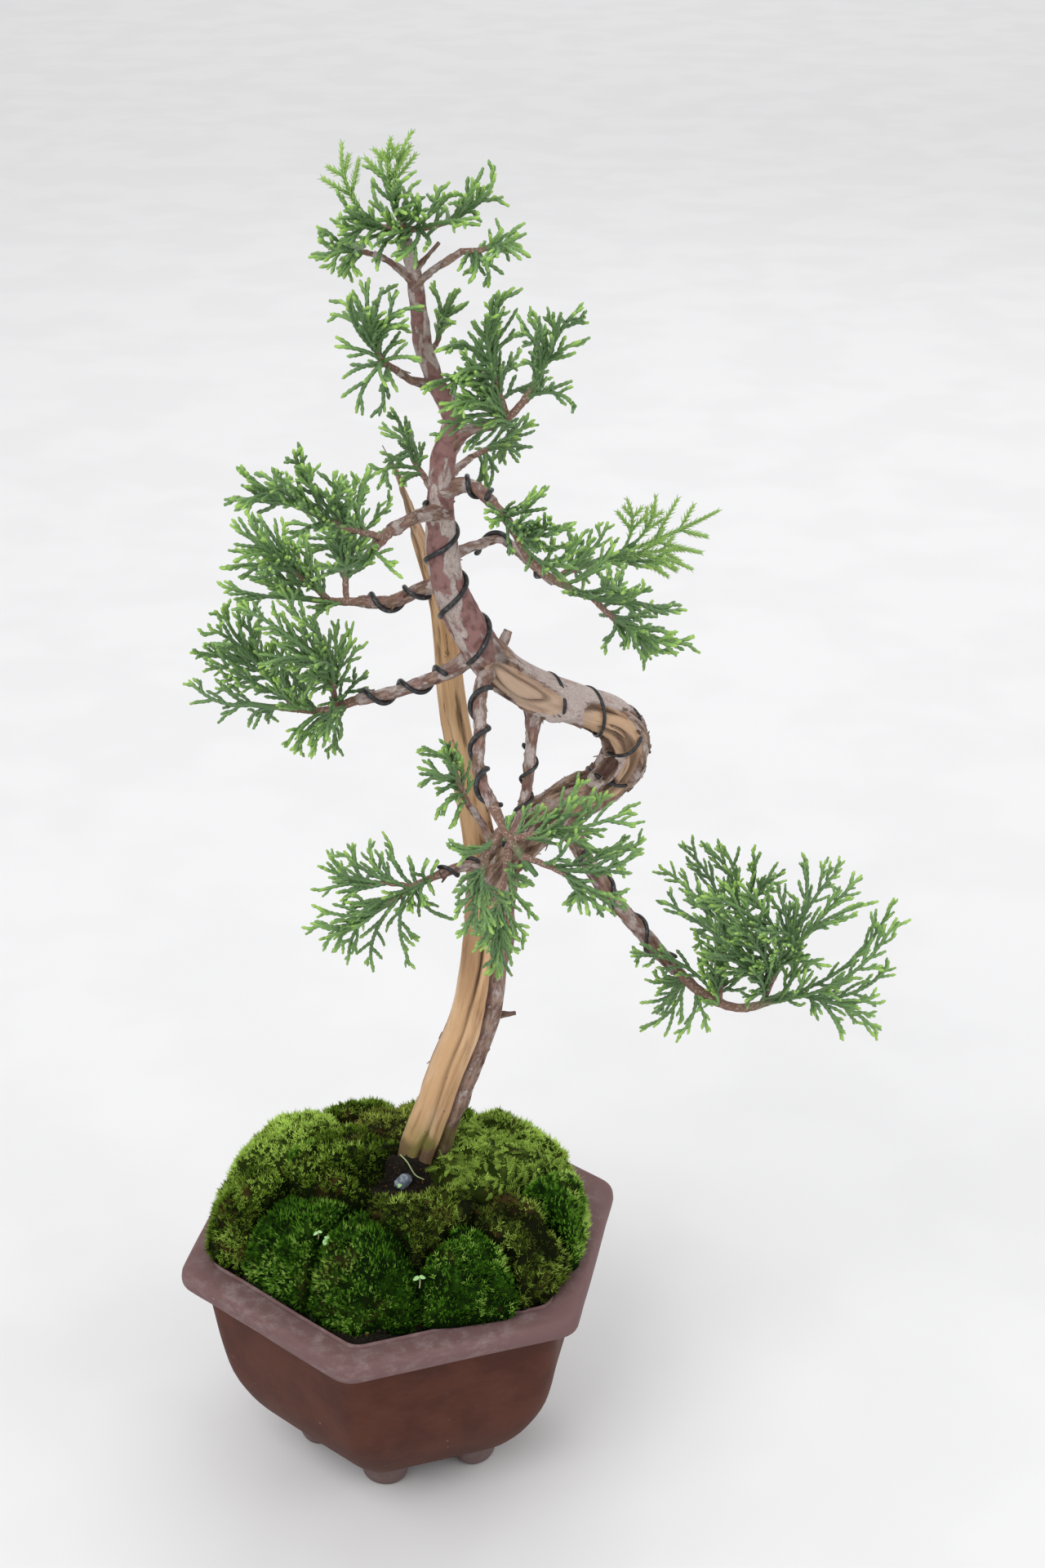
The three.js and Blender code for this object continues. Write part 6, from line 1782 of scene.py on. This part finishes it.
def make_stage(looks):
    """Floor, lights, world and camera."""
    scene = bpy.context.scene
    half = looks.floor_size / MM / 2
    steps = np.linspace(-half, half, 5)
    x, y = np.meshgrid(steps, steps, indexing="ij")
    corners = np.stack([x, y, 0 * x], -1)
    i = np.arange(4)[:, None] * 5 + np.arange(4)
    faces = np.stack([i, i + 5, i + 6, i + 1], -1).reshape(-1, 4)
    mesh = bpy.data.meshes.new("floor")
    mesh.from_pydata((corners.reshape(-1, 3) * MM).tolist(), [], faces.tolist())
    f = Finish("pale_floor")
    tone = f.noise(f.place(), 90, detail=2)
    colour = f.mix(looks.floor, [c * 0.97 for c in looks.floor], tone.rise(0.4, 0.6))
    mesh.materials.append(f.done(Base_Color=colour, Roughness=0.85))
    floor = bpy.data.objects.new("floor", mesh)
    scene.collection.objects.link(floor)

    for name, place, target, size, power in LIGHTS:
        light = bpy.data.lights.new(name, "AREA")
        light.size = size
        light.energy = power * looks.light_power
        lamp = bpy.data.objects.new(name, light)
        lamp.location = place
        aim = np.subtract(target, place)
        flat = math.hypot(aim[0], aim[1])
        lamp.rotation_euler = (math.atan2(flat, -aim[2]), 0, math.atan2(aim[1], aim[0]) - math.pi / 2)
        scene.collection.objects.link(lamp)

    world = bpy.data.worlds.new("even_room_light")
    world.use_nodes = True
    background = world.node_tree.nodes["Background"]
    background.inputs["Color"].default_value = (*looks.room, 1)
    background.inputs["Strength"].default_value = looks.room_strength
    scene.world = world
    scene.view_settings.view_transform = "Standard"

    camera = bpy.data.cameras.new("camera")
    camera.lens = looks.lens
    camera.sensor_width = SENSOR
    camera.clip_start = 0.01
    eye = bpy.data.objects.new("camera", camera)
    eye.location = np.array(EYE) * MM + POT_AXIS
    eye.rotation_euler = (math.pi / 2 - looks.camera_pitch, 0, 0)
    scene.collection.objects.link(eye)
    scene.camera = eye


# The add-on: what a user would change, one operator for each kind of piece, and a panel.


def paint(name, description, value):
    """A colour that a user would change."""
    return FloatVectorProperty(
        name=name, description=description, default=value, subtype="COLOR", size=3, min=0, max=1
    )


def amount(name, description, value, low=0, high=1):
    """A number without a unit that a user would change."""
    return FloatProperty(
        name=name, description=description, default=value, subtype="FACTOR", min=low, max=high
    )


class BonsaiPotLooks(PropertyGroup):
    clay: paint("Clay", "Fired clay of the pot's walls", (0.095, 0.033, 0.021))
    clay_deep: paint("Deep clay", "Darker clouds in the clay", (0.07, 0.024, 0.016))
    lip: paint("Lip", "Lighter clay of the pot's lip", (0.17, 0.098, 0.097))
    foot: paint("Feet", "Greyer clay of the feet", (0.15, 0.103, 0.096))
    bloom: paint("Bloom", "Pale mineral bloom from watering", (0.40, 0.34, 0.33))
    net: paint("Net", "Plastic of the net over the drain hole", (0.012, 0.013, 0.013))
    bloom_share: amount("Bloom share", "How much bloom covers the lip", 0.45)


class BonsaiGroundLooks(PropertyGroup):
    soil: paint("Soil", "Damp dark soil", (0.010, 0.0075, 0.005))
    soil_light: paint("Dry soil", "Drier crumbs of soil", (0.05, 0.036, 0.024))
    lava: paint("Lava grit", "Orange-brown grit in the soil", (0.1, 0.035, 0.012))
    lava_pale: paint("Pale grit", "Lighter faces of the grit", (0.17, 0.075, 0.03))
    stone: paint("Stone", "Stone chip", (0.11, 0.14, 0.18))
    stone_pale: paint("Pale stone", "Lighter veins of the stone chip", (0.32, 0.36, 0.42))
    stone_dark: paint("Dark stone", "Dark grains of the stone chip", (0.03, 0.035, 0.045))
    seed_leaf: paint("Seed leaf", "Leaves of the seedlings", (0.36, 0.62, 0.25))
    seed_leaf_dark: paint("Seed leaf shade", "Darker parts of the seed leaves", (0.2, 0.42, 0.12))
    rootlet: paint("Rootlet", "Pale rootlet and seedling stems", (0.38, 0.36, 0.2))
    moss_tip: paint("Moss tips", "Youngest tips of the moss", (0.6, 0.82, 0.18))
    moss_dry: paint("Dry moss", "Brown parts of the moss", (0.07, 0.036, 0.014))
    moss_thickness: amount("Moss thickness", "How thickly the moss shoots stand", 1.0, 0.1, 2)


# The greens of each kind of moss: a near-black green that paints the shade between the shoots,
# the green on them, and how much of it is brown.
MOSS_GREENS = {
    "moss_green": ((0.004, 0.007, 0.001), (0.15, 0.27, 0.02), 0.4),
    "moss_emerald": ((0.003, 0.01, 0.001), (0.07, 0.22, 0.01), 0.25),
    "moss_yellow": ((0.018, 0.03, 0.004), (0.46, 0.7, 0.11), 0.35),
    "moss_olive": ((0.006, 0.008, 0.002), (0.16, 0.24, 0.025), 0.6),
    "moss_brown": ((0.01, 0.01, 0.003), (0.24, 0.3, 0.04), 0.8),
}
for moss, (deep, bright, dry) in MOSS_GREENS.items():
    BonsaiGroundLooks.__annotations__.update({
        moss + "_dark": paint("Deep " + moss, "Between shoots", deep),
        moss: paint("Open " + moss, "On the moss shoots", bright),
        moss + "_brown": amount("Brown in " + moss, "How much of it is brown", dry),
    })


class BonsaiWoodLooks(PropertyGroup):
    deadwood: paint("Deadwood", "Bare weathered wood", (0.62, 0.385, 0.205))
    deadwood_pale: paint("Pale deadwood", "Bleached clouds in the bare wood", (0.82, 0.60, 0.40))
    deadwood_streak: paint("Streaks", "Browner streaks along the bare wood", (0.38, 0.2, 0.1))
    deadwood_line: paint("Checks", "Dark checks along the bare wood", (0.075, 0.035, 0.016))
    red_bark: paint("Red bark", "Smooth young bark", (0.29, 0.152, 0.142))
    red_bark_deep: paint("Deep red bark", "Darker patches of smooth bark", (0.17, 0.078, 0.072))
    rough_bark: paint("Rough bark", "Flaking old bark", (0.165, 0.10, 0.066))
    rough_bark_pale: paint("Pale rough bark", "Lighter edges of the flakes", (0.4, 0.285, 0.21))
    grey_scale: paint("Grey scales", "Grey-pink scales on the bark", (0.42, 0.34, 0.315))
    grey_scale_pale: paint("Pale scales", "Whitish scales on the bark", (0.56, 0.48, 0.45))
    # The colour of the shade painted into seams, cracks and hollows, also of darker patches low on the
    # trunk.
    crevice: paint("Crevices", "Dark seams and crevices", (0.04, 0.018, 0.012))
    algae: paint("Algae", "Green film near the soil", (0.24, 0.22, 0.05))
    wire: paint("Wire", "Anodised training wire", (0.045, 0.045, 0.048))
    wire_worn: paint("Worn wire", "Brighter scuffs on the wire", (0.14, 0.14, 0.145))
    wire_thickness: amount("Wire thickness", "Share of the usual thickness", 1.0, 0.5, 1.3)


class BonsaiLeafLooks(PropertyGroup):
    leaf: paint("Foliage", "Grown scale leaves", (0.2, 0.372, 0.096))
    leaf_deep: paint("Deep foliage", "Oldest scale leaves", (0.085, 0.168, 0.064))
    leaf_young: paint("Young foliage", "Growing tips", (0.38, 0.62, 0.11))
    leaf_edge: paint("Leaf edges", "Pale tips of the scale leaves", (0.32, 0.47, 0.22))
    twig: paint("Twigs", "Reddish brown twigs", (0.2, 0.11, 0.08))
    twig_pale: paint("Pale twigs", "Pinkish scales on the twigs", (0.38, 0.28, 0.235))
    shoot_thickness: amount("Shoot thickness", "Share of the usual thickness", 1.0, 0.5, 2)


class BonsaiStageLooks(PropertyGroup):
    floor: paint("Floor", "Pale floor", (0.80, 0.80, 0.81))
    room: paint("Room light", "Colour of the light from all round", (1.0, 1.0, 1.0))
    room_strength: FloatProperty(
        name="Room light strength", description="Light from all round", default=0.68, min=0, max=5
    )
    light_power: amount("Light power", "Share of the studio lights' power", 1.0, 0, 10)
    floor_size: FloatProperty(
        name="Floor size", description="Length of the floor's sides", default=16, min=1,
        unit="LENGTH", subtype="DISTANCE",
    )
    lens: FloatProperty(
        name="Lens", description="Focal length in millimetres", default=56, min=10, max=300,
        unit="CAMERA",
    )
    camera_pitch: FloatProperty(
        name="Camera pitch", description="How far the camera looks down",
        default=math.radians(26.03), subtype="ANGLE", unit="ROTATION",
    )


LOOKS = {
    "bonsai_pot": BonsaiPotLooks,
    "bonsai_ground": BonsaiGroundLooks,
    "bonsai_wood": BonsaiWoodLooks,
    "bonsai_leaf": BonsaiLeafLooks,
    "bonsai_stage": BonsaiStageLooks,
}


class BONSAI_OT_pot(Operator):
    """Make the clay pot"""
    bl_idname = "bonsai.pot"
    bl_label = "Pot"

    def execute(self, context):
        make_pot(context.scene.bonsai_pot)
        return {"FINISHED"}


class BONSAI_OT_net(Operator):
    """Make the net over the drain hole"""
    bl_idname = "bonsai.net"
    bl_label = "Drain net"

    def execute(self, context):
        make_net(context.scene.bonsai_pot)
        return {"FINISHED"}


class BONSAI_OT_soil(Operator):
    """Make the soil and its loose grit"""
    bl_idname = "bonsai.soil"
    bl_label = "Soil"

    def execute(self, context):
        make_soil(context.scene.bonsai_ground)
        return {"FINISHED"}


class BONSAI_OT_moss(Operator):
    """Make the moss cushions"""
    bl_idname = "bonsai.moss"
    bl_label = "Moss"

    def execute(self, context):
        make_moss(context.scene.bonsai_ground)
        return {"FINISHED"}


class BONSAI_OT_chip(Operator):
    """Make the stone chip"""
    bl_idname = "bonsai.chip"
    bl_label = "Stone chip"

    def execute(self, context):
        make_chip(context.scene.bonsai_ground)
        return {"FINISHED"}


class BONSAI_OT_seedlings(Operator):
    """Make the seedlings and the rootlet"""
    bl_idname = "bonsai.seedlings"
    bl_label = "Seedlings"

    def execute(self, context):
        make_seedlings(context.scene.bonsai_ground)
        return {"FINISHED"}


class BONSAI_OT_tree(Operator):
    """Make the trunk, the jin and the branches"""
    bl_idname = "bonsai.tree"
    bl_label = "Wood"

    def execute(self, context):
        make_tree(context.scene.bonsai_wood)
        return {"FINISHED"}


class BONSAI_OT_wires(Operator):
    """Make the training wires"""
    bl_idname = "bonsai.wires"
    bl_label = "Wires"

    def execute(self, context):
        make_wires(context.scene.bonsai_wood)
        return {"FINISHED"}


class BONSAI_OT_sprays(Operator):
    """Make the sprays of foliage"""
    bl_idname = "bonsai.sprays"
    bl_label = "Foliage"

    def execute(self, context):
        make_sprays(context.scene.bonsai_leaf)
        return {"FINISHED"}


class BONSAI_OT_stage(Operator):
    """Make the floor, the lights and the camera"""
    bl_idname = "bonsai.stage"
    bl_label = "Stage"

    def execute(self, context):
        make_stage(context.scene.bonsai_stage)
        return {"FINISHED"}


OPERATORS = [
    BONSAI_OT_stage,
    BONSAI_OT_pot,
    BONSAI_OT_net,
    BONSAI_OT_soil,
    BONSAI_OT_moss,
    BONSAI_OT_chip,
    BONSAI_OT_seedlings,
    BONSAI_OT_tree,
    BONSAI_OT_wires,
    BONSAI_OT_sprays,
]


class VIEW3D_PT_bonsai(Panel):
    bl_label = "Juniper bonsai"
    bl_idname = "VIEW3D_PT_bonsai"
    bl_space_type = "VIEW_3D"
    bl_region_type = "UI"
    bl_category = "Bonsai"

    def draw(self, context):
        for operator in OPERATORS:
            self.layout.operator(operator.bl_idname)


CLASSES = [*LOOKS.values(), *OPERATORS, VIEW3D_PT_bonsai]


def register():
    for cls in CLASSES:
        bpy.utils.register_class(cls)
    for name, looks in LOOKS.items():
        setattr(bpy.types.Scene, name, PointerProperty(type=looks))


def unregister():
    for name in LOOKS:
        delattr(bpy.types.Scene, name)
    for cls in reversed(CLASSES):
        bpy.utils.unregister_class(cls)


def main():
    register()
    for operator in OPERATORS:
        group, name = operator.bl_idname.split(".")
        getattr(getattr(bpy.ops, group), name)()


if __name__ == "__main__":
    main()
